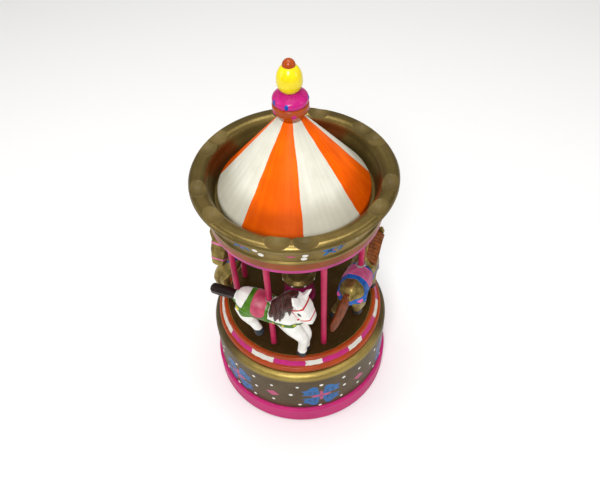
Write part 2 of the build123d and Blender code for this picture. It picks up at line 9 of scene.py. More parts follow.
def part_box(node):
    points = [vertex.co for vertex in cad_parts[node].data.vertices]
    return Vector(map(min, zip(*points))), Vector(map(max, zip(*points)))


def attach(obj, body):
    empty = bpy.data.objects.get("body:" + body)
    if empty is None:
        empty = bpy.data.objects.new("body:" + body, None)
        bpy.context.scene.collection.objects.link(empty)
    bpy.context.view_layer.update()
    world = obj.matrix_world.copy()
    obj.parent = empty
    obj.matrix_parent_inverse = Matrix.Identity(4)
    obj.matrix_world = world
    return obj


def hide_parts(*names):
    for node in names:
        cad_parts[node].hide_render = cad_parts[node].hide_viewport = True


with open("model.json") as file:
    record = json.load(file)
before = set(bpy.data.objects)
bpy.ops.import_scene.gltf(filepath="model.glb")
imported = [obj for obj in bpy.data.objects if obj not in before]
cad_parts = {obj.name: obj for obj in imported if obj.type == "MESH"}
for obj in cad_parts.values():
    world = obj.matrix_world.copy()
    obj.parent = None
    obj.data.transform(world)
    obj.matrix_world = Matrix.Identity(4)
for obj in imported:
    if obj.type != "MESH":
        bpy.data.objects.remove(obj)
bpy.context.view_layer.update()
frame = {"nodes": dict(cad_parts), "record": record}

# A painted wooden carousel music box. Pieces are worked out in millimetres and scaled to metres
# as they become meshes. Angles go round the box from the front, -Y, towards +X.
mm = 0.001
nodes = frame["nodes"]
print("frame loaded:", len(nodes), "parts from the workshop model")


def lowHigh(node):
    low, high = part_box(node)
    return np.array(low) / mm, np.array(high) / mm


def smoothStep(low, high, value):
    share = np.clip((value - low) / (high - low), 0, 1)
    return share * share * (3 - 2 * share)


# ---- camera, floor and lights

cameraSetup = {
    "lens": 35.75,
    "elevation": 49.69,   # degrees above the horizon
    "turn": 2.58,         # degrees round from the front
    "roll": -2.48,
    "target": (1.22, 0.0, 91.02),
    "distance": 304.96,
}
lightSetup = {
    # name: (place in m, aimed at in m, size in m, power in W)
    "frontSoftbox": ((-0.08, -0.62, 0.78), (0.0, 0.0, 0.12), 0.34, 5.2),
    "overheadPanel": ((0.0, 0.10, 1.05), (0.0, 0.0, 0.1), 0.60, 5.4),
    "leftFill": ((-0.85, -0.15, 0.45), (0.0, 0.0, 0.1), 0.50, 1.1),
    "rightFill": ((0.85, -0.25, 0.50), (0.0, 0.0, 0.1), 0.50, 1.1),
}
skyColor, skyStrength = (0.99, 0.97, 0.91, 1), 0.30
floorColor, floorSide = (0.94, 0.94, 0.94, 1), 3.0   # half its side, in m


def makeCamera(setup):
    # it stands back from its target along the elevation, rolled a little about its line of sight
    elevation, roll = math.radians(setup["elevation"]), math.radians(setup["roll"])
    back = Vector((0, -math.cos(elevation), math.sin(elevation)))
    right = Vector((1, 0, 0))
    up = back.cross(right)
    rolledRight = math.cos(roll) * right + math.sin(roll) * up
    rolledUp = math.cos(roll) * up - math.sin(roll) * right
    spin = Matrix.Rotation(math.radians(setup["turn"]), 4, "Z")
    place = Matrix((rolledRight, rolledUp, back)).transposed().to_4x4()
    place.translation = Vector(setup["target"]) * mm + back * setup["distance"] * mm
    data = bpy.data.cameras.new("boxCamera")
    data.lens = setup["lens"]
    data.clip_start = 0.01
    camera = bpy.data.objects.new("boxCamera", data)
    bpy.context.scene.collection.objects.link(camera)
    camera.matrix_world = spin @ place
    bpy.context.scene.camera = camera


def makeLights(setups):
    for name, (place, aim, size, power) in setups.items():
        data = bpy.data.lights.new(name, "AREA")
        data.shape, data.size, data.energy = "DISK", size, power
        light = bpy.data.objects.new(name, data)
        bpy.context.scene.collection.objects.link(light)
        light.location = place
        light.rotation_euler = (Vector(aim) - Vector(place)).to_track_quat("-Z", "Y").to_euler()
    world = bpy.data.worlds.new("studio")
    world.use_nodes = True
    sky = world.node_tree.nodes["Background"].inputs
    sky["Color"].default_value, sky["Strength"].default_value = skyColor, skyStrength
    bpy.context.scene.world = world
    bpy.context.scene.view_settings.view_transform = "Standard"


# ---- meshes

def gridFaces(rows, columns, wrapRows=False, wrapColumns=True):
    # quads between neighbouring points of a grid, wrapped round where it closes on itself
    i, j = np.meshgrid(np.arange(rows - (not wrapRows)), np.arange(columns - (not wrapColumns)), indexing="ij")
    i, j = i.ravel(), j.ravel()
    here, beyond = i * columns, (i + 1) % rows * columns
    nextJ = (j + 1) % columns
    return np.stack([here + j, here + nextJ, beyond + nextJ, beyond + j], -1)


def joined(parts):
    # several (points, faces) pairs as one
    points, faces, start = [], [], 0
    for partPoints, partFaces in parts:
        points.append(partPoints)
        faces.append(partFaces + start)
        start += len(partPoints)
    return np.concatenate(points), np.concatenate(faces)


def rawMesh(name, points, faces, scale=1.0):
    mesh = bpy.data.meshes.new(name)
    mesh.vertices.add(len(points))
    mesh.vertices.foreach_set("co", (points * scale).astype(np.float32).ravel())
    mesh.loops.add(faces.size)
    mesh.loops.foreach_set("vertex_index", faces.astype(np.int32).ravel())
    mesh.polygons.add(len(faces))
    mesh.polygons.foreach_set("loop_start", np.arange(0, faces.size, faces.shape[1], dtype=np.int32))
    mesh.update(calc_edges=True)
    mesh.validate()
    return mesh


def tidyMesh(mesh, merge):
    # poles and seams merged, faces turned outwards
    work = bmesh.new()
    work.from_mesh(mesh)
    bmesh.ops.remove_doubles(work, verts=work.verts, dist=merge)
    bmesh.ops.dissolve_degenerate(work, edges=work.edges, dist=merge)
    bmesh.ops.recalc_face_normals(work, faces=work.faces)
    work.to_mesh(mesh)
    work.free()


def makePiece(name, points, faces, material, body, slot=None, stands=(), sharp=40.0, merge=1e-6):
    mesh = rawMesh(name, points, faces, mm)
    tidyMesh(mesh, merge)
    return finishPiece(name, mesh, material, body, stands, sharp)


def finishPiece(name, mesh, material, body, stands=(), sharp=40.0):
    mesh.shade_smooth()
    mesh.set_sharp_from_angle(angle=math.radians(sharp))
    piece = bpy.data.objects.new(name, mesh)
    bpy.context.scene.collection.objects.link(piece)
    mesh.materials.clear()
    mesh.materials.append(material)
    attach(piece, body)
    if stands:
        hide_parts(*stands)
    return piece


def meshArrays(mesh):
    points = np.empty(len(mesh.vertices) * 3, np.float32)
    normals = np.empty(len(mesh.vertices) * 3, np.float32)
    mesh.vertices.foreach_get("co", points)
    mesh.vertices.foreach_get("normal", normals)
    return points.reshape(-1, 3).astype(float), normals.reshape(-1, 3).astype(float)


def carve(name, parts, voxel, smoothing):
    # closed shapes that pass through each other become one skin: voxel remesh, then a light sanding
    points, faces = joined(parts)
    mesh = rawMesh(name, points, faces)
    tidyMesh(mesh, 1e-4)
    block = bpy.data.objects.new(name, mesh)
    bpy.context.scene.collection.objects.link(block)
    remesh = block.modifiers.new("oneSkin", "REMESH")
    remesh.mode, remesh.voxel_size = "VOXEL", voxel
    sanding = block.modifiers.new("sanding", "SMOOTH")
    sanding.factor, sanding.iterations = 0.5, smoothing
    bpy.context.view_layer.update()
    skin = bpy.data.meshes.new_from_object(block.evaluated_get(bpy.context.evaluated_depsgraph_get()))
    bpy.data.objects.remove(block)
    return skin


# ---- shader building

def paintColor(code):
    # a hex paint code as linear light
    shares = np.array([int(code[i:i + 2], 16) for i in (1, 3, 5)]) / 255
    linear = np.where(shares <= 0.04045, shares / 12.92, ((shares + 0.055) / 1.055) ** 2.4)
    return (*linear.tolist(), 1.0)


def setInput(tree, socket, value):
    # a socket is linked, anything else becomes the input's own value
    if isinstance(value, bpy.types.NodeSocket):
        tree.links.new(value, socket)
    else:
        socket.default_value = value


def addNode(tree, kind, inputs=None, **settings):
    node = tree.nodes.new("ShaderNode" + kind)
    for key, value in settings.items():
        setattr(node, key, value)
    for key, value in (inputs or {}).items():
        setInput(tree, node.inputs[key], value)
    return node


def calc(tree, operation, *values):
    return addNode(tree, "Math", dict(enumerate(values)), operation=operation).outputs[0]


def addUp(tree, *weighted):
    # sum of (value, weight) pairs
    total = 0.0
    for value, weight in weighted:
        total = calc(tree, "MULTIPLY_ADD", value, weight, total)
    return total


def mixColor(tree, factor, first, second):
    # each colour is a hex code or a socket
    first, second = (paintColor(color) if isinstance(color, str) else color for color in (first, second))
    return addNode(tree, "Mix", {0: factor, 6: first, 7: second}, data_type="RGBA").outputs[2]


def softMask(tree, value, low, high):
    # 0 at low, 1 at high, eased between
    return addNode(tree, "MapRange", {"Value": value, "From Min": low, "From Max": high},
                   interpolation_type="SMOOTHSTEP").outputs[0]


def noiseAt(tree, vector, scale=1.0, detail=3.0, **more):
    return addNode(tree, "TexNoise", {"Vector": vector, "Scale": scale, "Detail": detail, **more}).outputs[0]


def stretched(tree, vector, stretch):
    return addNode(tree, "VectorMath", {0: vector, 1: stretch}, operation="MULTIPLY").outputs[0]


def objectMillimetres(tree):
    place = addNode(tree, "TexCoord").outputs["Object"]
    return addNode(tree, "VectorMath", {0: place, "Scale": 1 / mm}, operation="SCALE").outputs[0]


def newMaterial(name, roughness=0.5, metallic=0.0, coat=0.0, coatRoughness=0.1, specular=0.22):
    material = bpy.data.materials.new(name)
    material.use_nodes = True
    tree = material.node_tree
    shader = tree.nodes["Principled BSDF"]
    constants = {"Roughness": roughness, "Metallic": metallic, "Coat Weight": coat,
                 "Coat Roughness": coatRoughness, "Specular IOR Level": specular}
    for label, value in constants.items():
        shader.inputs[label].default_value = value
    return material, tree, shader


def wireShader(tree, shader, color, height, depth, roughness=None, metallic=None):
    # the bump's depth is in mm
    bump = addNode(tree, "Bump", {"Height": height, "Distance": depth * mm})
    wires = {"Base Color": color, "Normal": bump.outputs[0], "Roughness": roughness, "Metallic": metallic}
    for label, value in wires.items():
        if value is not None:
            tree.links.new(value, shader.inputs[label])


def newGroup(name, inputs, outputs):
    group = bpy.data.node_groups.new(name, "ShaderNodeTree")
    for label, value in inputs.items():
        socket = group.interface.new_socket(label, in_out="INPUT", socket_type="NodeSocketFloat")
        socket.default_value = value
    for label in outputs:
        group.interface.new_socket(label, in_out="OUTPUT", socket_type="NodeSocketFloat")
    return group, group.nodes.new("NodeGroupInput").outputs, group.nodes.new("NodeGroupOutput").inputs


def useGroup(tree, group, *values):
    # values fill the group's inputs in order
    node = tree.nodes.new("ShaderNodeGroup")
    node.node_tree = group
    for socket, value in zip(node.inputs, values):
        setInput(tree, socket, value)
    return node.outputs


def turnedPlaceGroup():
    # where a point lies on the lathe: degrees round from the front, distance from the axis, height in mm
    group, _, out = newGroup("turnedPlace", {}, ("Angle", "Radius", "Height"))
    place = addNode(group, "SeparateXYZ", {0: objectMillimetres(group)}).outputs
    back = calc(group, "MULTIPLY", place["Y"], -1.0)
    group.links.new(calc(group, "DEGREES", calc(group, "ARCTAN2", place["X"], back)), out["Angle"])
    squares = addUp(group, (place["X"], place["X"]), (back, back))
    group.links.new(calc(group, "SQRT", squares), out["Radius"])
    group.links.new(place["Z"], out["Height"])
    return group


def turnedStreaksGroup():
    # brush or tool lines that run round the axis: noise stretched along the turn, packed across it
    group, given, out = newGroup("turnedStreaks", {"Lines per mm": 3.0, "Length": 2.0}, ("Streak",))
    spot = addNode(group, "SeparateXYZ", {0: objectMillimetres(group)}).outputs
    squares = addUp(group, (spot["X"], spot["X"]), (spot["Y"], spot["Y"]))
    radius = calc(group, "ADD", calc(group, "SQRT", squares), 0.001)
    wave = calc(group, "DIVIDE", given["Length"], radius)
    across = calc(group, "MULTIPLY", calc(group, "ADD", spot["Z"], radius), given["Lines per mm"])
    along = addNode(group, "CombineXYZ", {0: calc(group, "MULTIPLY", spot["X"], wave),
                                          1: calc(group, "MULTIPLY", spot["Y"], wave), 2: across}).outputs[0]
    group.links.new(noiseAt(group, along, Roughness=0.6), out["Streak"])
    return group


def paintFilmGroup():
    # a hand-laid coat: slow drifts of tone and the fine orange peel of the dried film
    group, given, out = newGroup("paintFilm", {"Patch size mm": 9.0, "Peel size mm": 0.6}, ("Tone", "Peel"))
    place = objectMillimetres(group)
    slow = noiseAt(group, place, calc(group, "DIVIDE", 1.0, given["Patch size mm"]), Roughness=0.55)
    fine = noiseAt(group, place, calc(group, "DIVIDE", 1.0, given["Peel size mm"]), 2.0)
    group.links.new(softMask(group, slow, 0.32, 0.68), out["Tone"])
    group.links.new(fine, out["Peel"])
    return group


def cellsOf(group, size):
    # random cells of a size in mm: how far the nearest centre lies, and each cell's random colour
    cells = addNode(group, "TexVoronoi", {"Vector": objectMillimetres(group),
                                          "Scale": calc(group, "DIVIDE", 1.0, size)}).outputs
    return cells["Distance"], addNode(group, "SeparateColor", {0: cells["Color"]}).outputs


def metalFlakeGroup():
    # bronze powder in the paint: one random value for each tiny cell
    group, given, out = newGroup("metalFlake", {"Flake size mm": 0.12}, ("Flake",))
    group.links.new(cellsOf(group, given["Flake size mm"])[1][0], out["Flake"])
    return group


def specksGroup():
    # sparse dark grains of dirt and nicks: the few cells whose centres lie close by
    group, given, out = newGroup("specks", {"Spacing mm": 6.0, "Size": 0.05}, ("Speck",))
    distance, shades = cellsOf(group, given["Spacing mm"])
    keep = calc(group, "GREATER_THAN", shades[1], 0.62)
    near = calc(group, "LESS_THAN", distance, given["Size"])
    group.links.new(calc(group, "MULTIPLY", keep, near), out["Speck"])
    return group


def settledDustGroup():
    # pale dust on what faces upwards, broken up by noise
    group, given, out = newGroup("settledDust", {"Amount": 0.2}, ("Dust",))
    facing = addNode(group, "SeparateXYZ", {0: addNode(group, "NewGeometry").outputs["Normal"]}).outputs["Z"]
    noise = noiseAt(group, objectMillimetres(group), 0.7, 4.0)
    broken = calc(group, "MULTIPLY", softMask(group, facing, 0.3, 1.0), softMask(group, noise, 0.42, 0.75))
    group.links.new(calc(group, "MULTIPLY", broken, given["Amount"]), out["Dust"])
    return group


turnedPlace, turnedStreaks = turnedPlaceGroup(), turnedStreaksGroup()
paintFilm, metalFlake = paintFilmGroup(), metalFlakeGroup()
specks, settledDust = specksGroup(), settledDustGroup()
dirt = "#2A2212"


def speckled(tree, color, spacing, size, share, grain=dirt):
    # sparse grains of another colour, so many mm apart
    speck = useGroup(tree, specks, spacing, size)[0]
    return mixColor(tree, calc(tree, "MULTIPLY", speck, share), color, grain)


# ---- paints of the turned pieces

goldMix = {"light": "#96804A", "dark": "#5C4E28", "roughness": (0.28, 0.42), "metallic": 0.90}
drumMix = {
    # the wall's two tones are a darker copy of the bronze, standing in for shade; the shoulder's two tones are a
    # painted highlight
    "light": "#64553A", "dark": "#483C24", "highlightLight": "#C4AC60", "highlightDark": "#7C6834",
    "highlightBand": (5.2, 1.6),                  # mm below the top: where the painted highlight starts and where it is full
    "frontHighlight": 10.0, "frontHighlightSpan": (28.0, 68.0),   # degrees: the painted highlight's middle, at the front, and where it fades either side
}
deckMix = {"light": "#665226", "dark": "#443614", "line": "#C8A860"}
orangeMix = {"light": "#B4440E", "dark": "#8E3206"}
deckEdge = {"lineFrom": 39.75, "lineTo": 40.15, "orangeFrom": 40.2, "soft": 0.2}   # mm from the axis


def goldShade(tree, light, dark):
    # bronze paint: tone drifts with the film, glints with the flakes, thins along the turned streaks
    film = useGroup(tree, paintFilm, 14.0, 0.35)
    streak = useGroup(tree, turnedStreaks, 2.2, 3.0)[0]
    flake = useGroup(tree, metalFlake, 0.16)[0]
    tone = addUp(tree, (film["Tone"], 0.45), (streak, 0.35), (flake, 0.25))
    return mixColor(tree, tone, light, dark), film, streak, flake


def goldPaint():
    # the bronze shade with a few grains of dirt, rougher where the flakes and the film say so
    material, tree, shader = newMaterial("goldPaint", metallic=goldMix["metallic"], coat=0.05, coatRoughness=0.25)
    color, film, streak, flake = goldShade(tree, goldMix["light"], goldMix["dark"])
    low, high = goldMix["roughness"]
    half = (high - low) / 2
    wireShader(tree, shader, speckled(tree, color, 5.0, 0.035, 0.6),
               addUp(tree, (film["Peel"], 0.5), (streak, 0.5), (flake, 0.15)), 0.05,
               roughness=addUp(tree, (flake, half), (film["Tone"], half), (1.0, low)))
    return material


def drumPaint():
    # bronze on the wall painted darker than the rest, as painted shade; a painted highlight on the rounded shoulder,
    # the topmost few mm
    material, tree, shader = newMaterial("drumPaint", coat=0.05, coatRoughness=0.25)
    top = lowHigh("base_drum")[1][2]
    place = useGroup(tree, turnedPlace)
    wall, film, streak, flake = goldShade(tree, drumMix["light"], drumMix["dark"])
    # the painted highlight's colour
    highlightColor = mixColor(tree, addUp(tree, (film["Tone"], 0.4), (flake, 0.4)),
                      drumMix["highlightLight"], drumMix["highlightDark"])
    # the painted highlight is brightest at the front, so the sides stay dark
    aside = calc(tree, "ABSOLUTE", calc(tree, "SUBTRACT", place["Angle"], drumMix["frontHighlight"]))
    frontHighlight = calc(tree, "MULTIPLY_ADD", softMask(tree, aside, *drumMix["frontHighlightSpan"]), -0.95, 1.0)
    start, full = drumMix["highlightBand"]
    # where the painted highlight lies: the shoulder's top few mm, fading towards the sides
    paintedHighlight = calc(tree, "MULTIPLY", softMask(tree, place["Height"], top - start, top - full), frontHighlight)
    wireShader(tree, shader, speckled(tree, mixColor(tree, paintedHighlight, wall, highlightColor), 5.0, 0.035, 0.6),
               addUp(tree, (film["Peel"], 0.7), (streak, 0.4), (flake, 0.4)), 0.05,
               roughness=addUp(tree, (flake, 0.12), (paintedHighlight, -0.08), (1.0, 0.44)),
               metallic=addUp(tree, (paintedHighlight, 0.22), (1.0, 0.68)))
    return material


def plainPaint(name, light, dark, roughness=0.35, coat=0.12, patch=8.0, peel=0.5, streaks=0.3, dust=0.04,
               nicks=0.5):
    # brushed colour: two near tones mixed by the film and the streaks, dust on top, a few nicks
    material, tree, shader = newMaterial(name, roughness=roughness, coat=coat, coatRoughness=0.12)
    film = useGroup(tree, paintFilm, patch, peel)
    streak = useGroup(tree, turnedStreaks, 2.5, 4.0)[0]
    tone = addUp(tree, (film["Tone"], 0.7 - streaks), (softMask(tree, streak, 0.35, 0.65), streaks))
    color = speckled(tree, mixColor(tree, tone, light, dark), 7.0, 0.03, nicks, "#3A2A22")
    settled = useGroup(tree, settledDust, dust)[0]
    wireShader(tree, shader, mixColor(tree, settled, color, "#D8D2C8"),
               addUp(tree, (film["Peel"], 0.5), (streak, streaks)), 0.05,
               roughness=addUp(tree, (film["Peel"], 0.12), (settled, 0.5), (1.0, roughness - 0.06)))
    return material


def platformPaint():
    # bronze deck inside the bead, orange outside it, both with the lathe's lines; the edge wavers
    material, tree, shader = newMaterial("platformPaint", coat=0.12, coatRoughness=0.15)
    place = useGroup(tree, turnedPlace)
    gold, film, streak, flake = goldShade(tree, deckMix["light"], deckMix["dark"])
    wobble = noiseAt(tree, objectMillimetres(tree), 0.12, 4.0)
    edge = calc(tree, "MULTIPLY_ADD", wobble, 0.7, place["Radius"])
    soft, orangeFrom = deckEdge["soft"], deckEdge["orangeFrom"]
    outside = softMask(tree, edge, orangeFrom, orangeFrom + soft)
    orange = mixColor(tree, addUp(tree, (film["Tone"], 0.5), (streak, 0.4)), orangeMix["light"], orangeMix["dark"])
    # a worn bright line of bronze where the bead meets the deck
    past = softMask(tree, edge, deckEdge["lineTo"], deckEdge["lineTo"] + soft * 0.75)
    line = calc(tree, "MULTIPLY", softMask(tree, edge, deckEdge["lineFrom"], deckEdge["lineFrom"] + soft),
                calc(tree, "SUBTRACT", 1.0, past))
    deck = mixColor(tree, line, gold, deckMix["line"])
    color = mixColor(tree, useGroup(tree, settledDust, 0.04)[0], mixColor(tree, outside, deck, orange), "#B8AC98")
    wireShader(tree, shader, color, addUp(tree, (film["Peel"], 0.4), (streak, 0.7)), 0.06,
               roughness=addUp(tree, (flake, 0.10), (film["Tone"], 0.08), (outside, -0.12), (1.0, 0.42)),
               metallic=addUp(tree, (outside, -0.85), (1.0, 0.85)))
    return material


canopyMix = {
    "pinkTop": 2.25, "bandTop": 6.6, "soft": 0.06,   # mm above the underside
    "pink": ("#C03A86", "#9E2E6C"), "brown": ("#9A4A0C", "#703206"), "grooveGap": 0.9,
}
rimScoops = {
    # where the gouge went into the rim: degrees round, its radius, its depth, and how far inside the edge in mm
    "turns": (-74.4, -50.4, -7.7, 7.6, 56.1, 77.6, 118.6, 131.6, 164.6, 188.6, 237.6, 249.1),
    # light and dark: the darker bronze painted in the scoops as shade
    "radius": 7.0, "depth": 2.2, "inside": 4.2, "light": "#7E6C3C", "dark": "#463A1C",
}


def scoopMask(tree):
    # 1 on the hollow of each scoop: the points that lie one gouge radius from its centre
    high = lowHigh("canopy_ring")[1]
    reach, level = high[0] - rimScoops["inside"], high[2] - rimScoops["depth"] + rimScoops["radius"]
    place, nearest = objectMillimetres(tree), 1000.0
    for turn in rimScoops["turns"]:
        a = math.radians(turn)
        centre = (reach * math.sin(a), -reach * math.cos(a), level)
        away = addNode(tree, "VectorMath", {0: place, 1: centre}, operation="DISTANCE").outputs[1]
        nearest = calc(tree, "MINIMUM", away, nearest)
    return softMask(tree, nearest, rimScoops["radius"] + 0.3, rimScoops["radius"] + 0.05)


def canopyPaint():
    # pink lower band, brown-orange band, bronze above; every edge is hand-cut, so it wavers a little
    material, tree, shader = newMaterial("canopyPaint", coat=0.08, coatRoughness=0.18)
    bottom = lowHigh("canopy_ring")[0][2]
    place = useGroup(tree, turnedPlace)
    gold, film, streak, flake = goldShade(tree, goldMix["light"], goldMix["dark"])
    wobble = noiseAt(tree, objectMillimetres(tree), 0.15)
    level = calc(tree, "MULTIPLY_ADD", wobble, 0.35, calc(tree, "SUBTRACT", place["Height"], bottom + 0.17))
    soft = canopyMix["soft"]
    aboveBand, abovePink = (softMask(tree, level, canopyMix[edge] - soft, canopyMix[edge] + soft)
                            for edge in ("bandTop", "pinkTop"))
    pink = mixColor(tree, film["Tone"], *canopyMix["pink"])
    tone = addUp(tree, (film["Tone"], 0.5), (streak, 0.5))
    brown = mixColor(tree, tone, *canopyMix["brown"])
    color = mixColor(tree, aboveBand, mixColor(tree, abovePink, pink, brown), gold)
    # painted shade in the scoops: the bronze is darker there, and also duller, rougher and less metallic
    scoopShade = scoopMask(tree)
    color = mixColor(tree, scoopShade, color, mixColor(tree, tone, rimScoops["light"], rimScoops["dark"]))
    # fine grooves left by the chisel, evenly up the brown band
    wave = calc(tree, "SINE", calc(tree, "MULTIPLY", level, 2 * math.pi / canopyMix["grooveGap"]))
    groove = calc(tree, "MULTIPLY", wave, calc(tree, "SUBTRACT", abovePink, aboveBand))
    wireShader(tree, shader, speckled(tree, color, 5.0, 0.03, 0.5),
               addUp(tree, (film["Peel"], 0.4), (streak, 0.8), (flake, 0.1), (groove, 0.7)), 0.06,
               roughness=addUp(tree, (flake, 0.10), (film["Tone"], 0.08), (scoopShade, 0.34), (1.0, 0.28)),
               metallic=addUp(tree, (aboveBand, goldMix["metallic"]), (scoopShade, -0.72)))
    return material


roofStripes = {
    "turns": (-100.4, -39.4, 8.1, 54.6, 100.6, 145.0, -170.0, -135.0),   # degrees where the colour changes
    "orange": ("#FF6A00", "#E05200"), "white": ("#E2E0D2", "#CECBBC"), "waver": 1.2, "edge": 0.08,
    # the rim's painted shade on the dome's foot: its strength, the heights above the foot where it starts and is
    # full, and its colour on each stripe
    "rimShade": 0.55, "rimShadeFrom": 17.0, "rimShadeFull": 9.0, "shadeOnOrange": "#8A3200", "shadeOnWhite": "#96927E",
}


def roofPaint():
    # eight stripes from the apex: the colour flips at each edge angle, counted with steps
    material, tree, shader = newMaterial("roofPaint", coat=0.03, coatRoughness=0.25, specular=0.06)
    place = useGroup(tree, turnedPlace)
    film = useGroup(tree, paintFilm, 10.0, 0.4)
    # waver and edge are distances in mm, so they turn into fewer degrees further out
    waver = calc(tree, "SUBTRACT", noiseAt(tree, objectMillimetres(tree), 0.1), 0.5)
    drift = calc(tree, "MULTIPLY", waver, math.degrees(roofStripes["waver"]))
    angle = calc(tree, "ADD", place["Angle"], calc(tree, "DIVIDE", drift, place["Radius"]))
    half = calc(tree, "DIVIDE", math.degrees(roofStripes["edge"]), place["Radius"])
    count = 1.0   # orange where an odd number of edges has been passed
    for edge in sorted(roofStripes["turns"]):
        step = addNode(tree, "MapRange", {"Value": angle, "From Min": calc(tree, "SUBTRACT", edge, half),
                                          "From Max": calc(tree, "ADD", edge, half)}).outputs[0]
        count = calc(tree, "ADD", step, count)
    orange = calc(tree, "PINGPONG", count, 1.0)
    downwards = addNode(tree, "CombineXYZ", {0: calc(tree, "MULTIPLY", place["Angle"], 0.25),
                                             1: calc(tree, "MULTIPLY", place["Height"], 0.03)}).outputs[0]
    streaks = noiseAt(tree, downwards, detail=4.0)
    tone = addUp(tree, (film["Tone"], 0.5), (softMask(tree, streaks, 0.35, 0.65), 0.4))
    color = mixColor(tree, orange, mixColor(tree, tone, *roofStripes["white"]),
                     mixColor(tree, tone, *roofStripes["orange"]))
    # painted shade of the rim: the dome is painted darker round its foot, down in the bowl
    foot = lowHigh("dome")[0][2]
    shadeNearFoot = softMask(tree, place["Height"], foot + roofStripes["rimShadeFrom"], foot + roofStripes["rimShadeFull"])
    rimShade = mixColor(tree, orange, roofStripes["shadeOnWhite"], roofStripes["shadeOnOrange"])
    color = mixColor(tree, calc(tree, "MULTIPLY", shadeNearFoot, roofStripes["rimShade"]), color, rimShade)
    wireShader(tree, shader, speckled(tree, color, 8.0, 0.028, 0.7, "#4A4038"),
               addUp(tree, (film["Peel"], 0.4), (streaks, 0.5), (orange, 0.25)), 0.06,
               roughness=addUp(tree, (film["Peel"], 0.12), (1.0, 0.42)))
    return material


# ---- metals, wood and felt of the works

def metal(name, light, dark, roughness, scratches=1.0):
    # drawn or cast metal: fine scratches, tone drifting with the film
    material, tree, shader = newMaterial(name, metallic=1.0)
    film = useGroup(tree, paintFilm, 6.0, 0.3)
    lines = noiseAt(tree, stretched(tree, objectMillimetres(tree), (0.25, 6.0, 6.0)))
    wireShader(tree, shader, mixColor(tree, addUp(tree, (film["Tone"], 0.5), (lines, 0.4)), light, dark),
               addUp(tree, (lines, scratches), (film["Peel"], 0.3)), 0.02,
               roughness=addUp(tree, (lines, 0.25), (1.0, roughness - 0.1)))
    return material


def plainWood():
    # bare turned beech: rings from a stretched wave, pores as short dark dashes
    material, tree, shader = newMaterial("plainWood", roughness=0.6)
    place = objectMillimetres(tree)
    rings = addNode(tree, "TexWave", {"Vector": place, "Scale": 0.12, "Distortion": 5.0, "Detail": 3.0},
                    bands_direction="Y").outputs[1]
    pores = noiseAt(tree, stretched(tree, place, (0.3, 3.5, 3.5)), detail=5.0)
    tone = addUp(tree, (rings, 0.45), (softMask(tree, pores, 0.45, 0.7), 0.5))
    wireShader(tree, shader, mixColor(tree, tone, "#D9B98A", "#A87F4E"), pores, 0.06)
    return material


def feltCloth():
    # pressed felt: crossed fibres from two stretched noises
    material, tree, shader = newMaterial("feltCloth", roughness=0.95)
    place = objectMillimetres(tree)
    fibres = [noiseAt(tree, stretched(tree, place, way), detail=5.0) for way in ((1, 7, 7), (7, 1, 7))]
    tone = addUp(tree, (fibres[0], 0.5), (fibres[1], 0.5))
    shader.inputs["Sheen Weight"].default_value = 0.4
    wireShader(tree, shader, mixColor(tree, tone, "#1C1C1E", "#3A3A3E"), tone, 0.12)
    return material


def nylonPlastic():
    # milky plastic: a faint drift of tone over a fine peel, a little light passing through
    material, tree, shader = newMaterial("nylonPlastic", roughness=0.4)
    film = useGroup(tree, paintFilm, 3.0, 0.2)
    shader.inputs["Subsurface Weight"].default_value = 0.15
    shader.inputs["Subsurface Radius"].default_value = (mm, mm, mm)
    wireShader(tree, shader, mixColor(tree, film["Tone"], "#ECE8DC", "#D8D2C0"), film["Peel"], 0.03)
    return material


finishes = {
    "felt": feltCloth(),
    "pink_paint": plainPaint("plinthPink", "#C42070", "#AC1860", roughness=0.5, coat=0.0, patch=14.0),
    "gold_paint": goldPaint(),
    "plain_wood": plainWood(),
    "steel": metal("screwSteel", "#C8CACC", "#8E9092", 0.32),
    "die_cast": metal("castZinc", "#B4B2AC", "#84827C", 0.5, 0.5),
    "brass": metal("yellowBrass", "#D8B45C", "#A88438", 0.3),
    "nylon": nylonPlastic(),
    "orange_paint": platformPaint(),
    "pole_paint": plainPaint("polePink", "#C02858", "#9C1C42", 0.4, 0.08, 5.0, streaks=0.2),
    "wine_paint": plainPaint("postWine", "#A01C5C", "#741040", coat=0.15),
    "roof_paint": roofPaint(),
    "terracotta_paint": plainPaint("finialTerracotta", "#B24A0A", "#943A06", 0.28, 0.15, 4.0),
    "finial_pink_paint": plainPaint("finialMagenta", "#C81A80", "#A00C60", 0.28, 0.25, 4.0),
    "yellow_paint": plainPaint("finialYellow", "#F6E010", "#DCC200", 0.22, 0.45, 4.0, nicks=0.2),
    "canopy": canopyPaint(),
    "drum": drumPaint(),
}
print("finishes mixed:", len(finishes))


def finishWorkshopParts():
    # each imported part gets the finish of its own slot; a few have a paint of their own
    ownPaint = {"canopy_ring": "canopy", "base_drum": "drum", "pole_eyelets": "orange_paint"}
    slots = {entry["node"]: entry["material_slot"] for entry in frame["record"]["subparts"]}
    for name, piece in nodes.items():
        slot = ownPaint.get(name, slots.get(name))
        if slot in finishes:
            piece.data.materials.clear()
            piece.data.materials.append(finishes[slot])


# ---- painted marks on the turned walls

def wallProfile(node, low, high, steps=60):
    # radius of a turned part at each level, felt out with level rays from outside, towards the axis
    levels = np.linspace(low, high, steps)
    outside, inwards = 0.2, Vector((0, 1, 0))
    found = [nodes[node].ray_cast(Vector((0, -outside, level * mm)), inwards) for level in levels]
    radii = np.array([-spot.y / mm if hit else np.nan for hit, spot, _, _ in found])
    good = ~np.isnan(radii)
    return levels[good], radii[good]


def onWall(wall, turn, z, height):
    # points that stand so high off the wall, at a turn in radians and a level
    levels, radii = wall
    slope = np.interp(z, levels, np.gradient(radii, levels))
    stretch = np.hypot(1, slope)
    r, z = np.interp(z, levels, radii) + height / stretch, z - height * slope / stretch
    return np.stack([r * np.sin(turn), -r * np.cos(turn), z], -1)


sunk = -0.06   # mm: a mark's underside lies this far under the skin of its wall


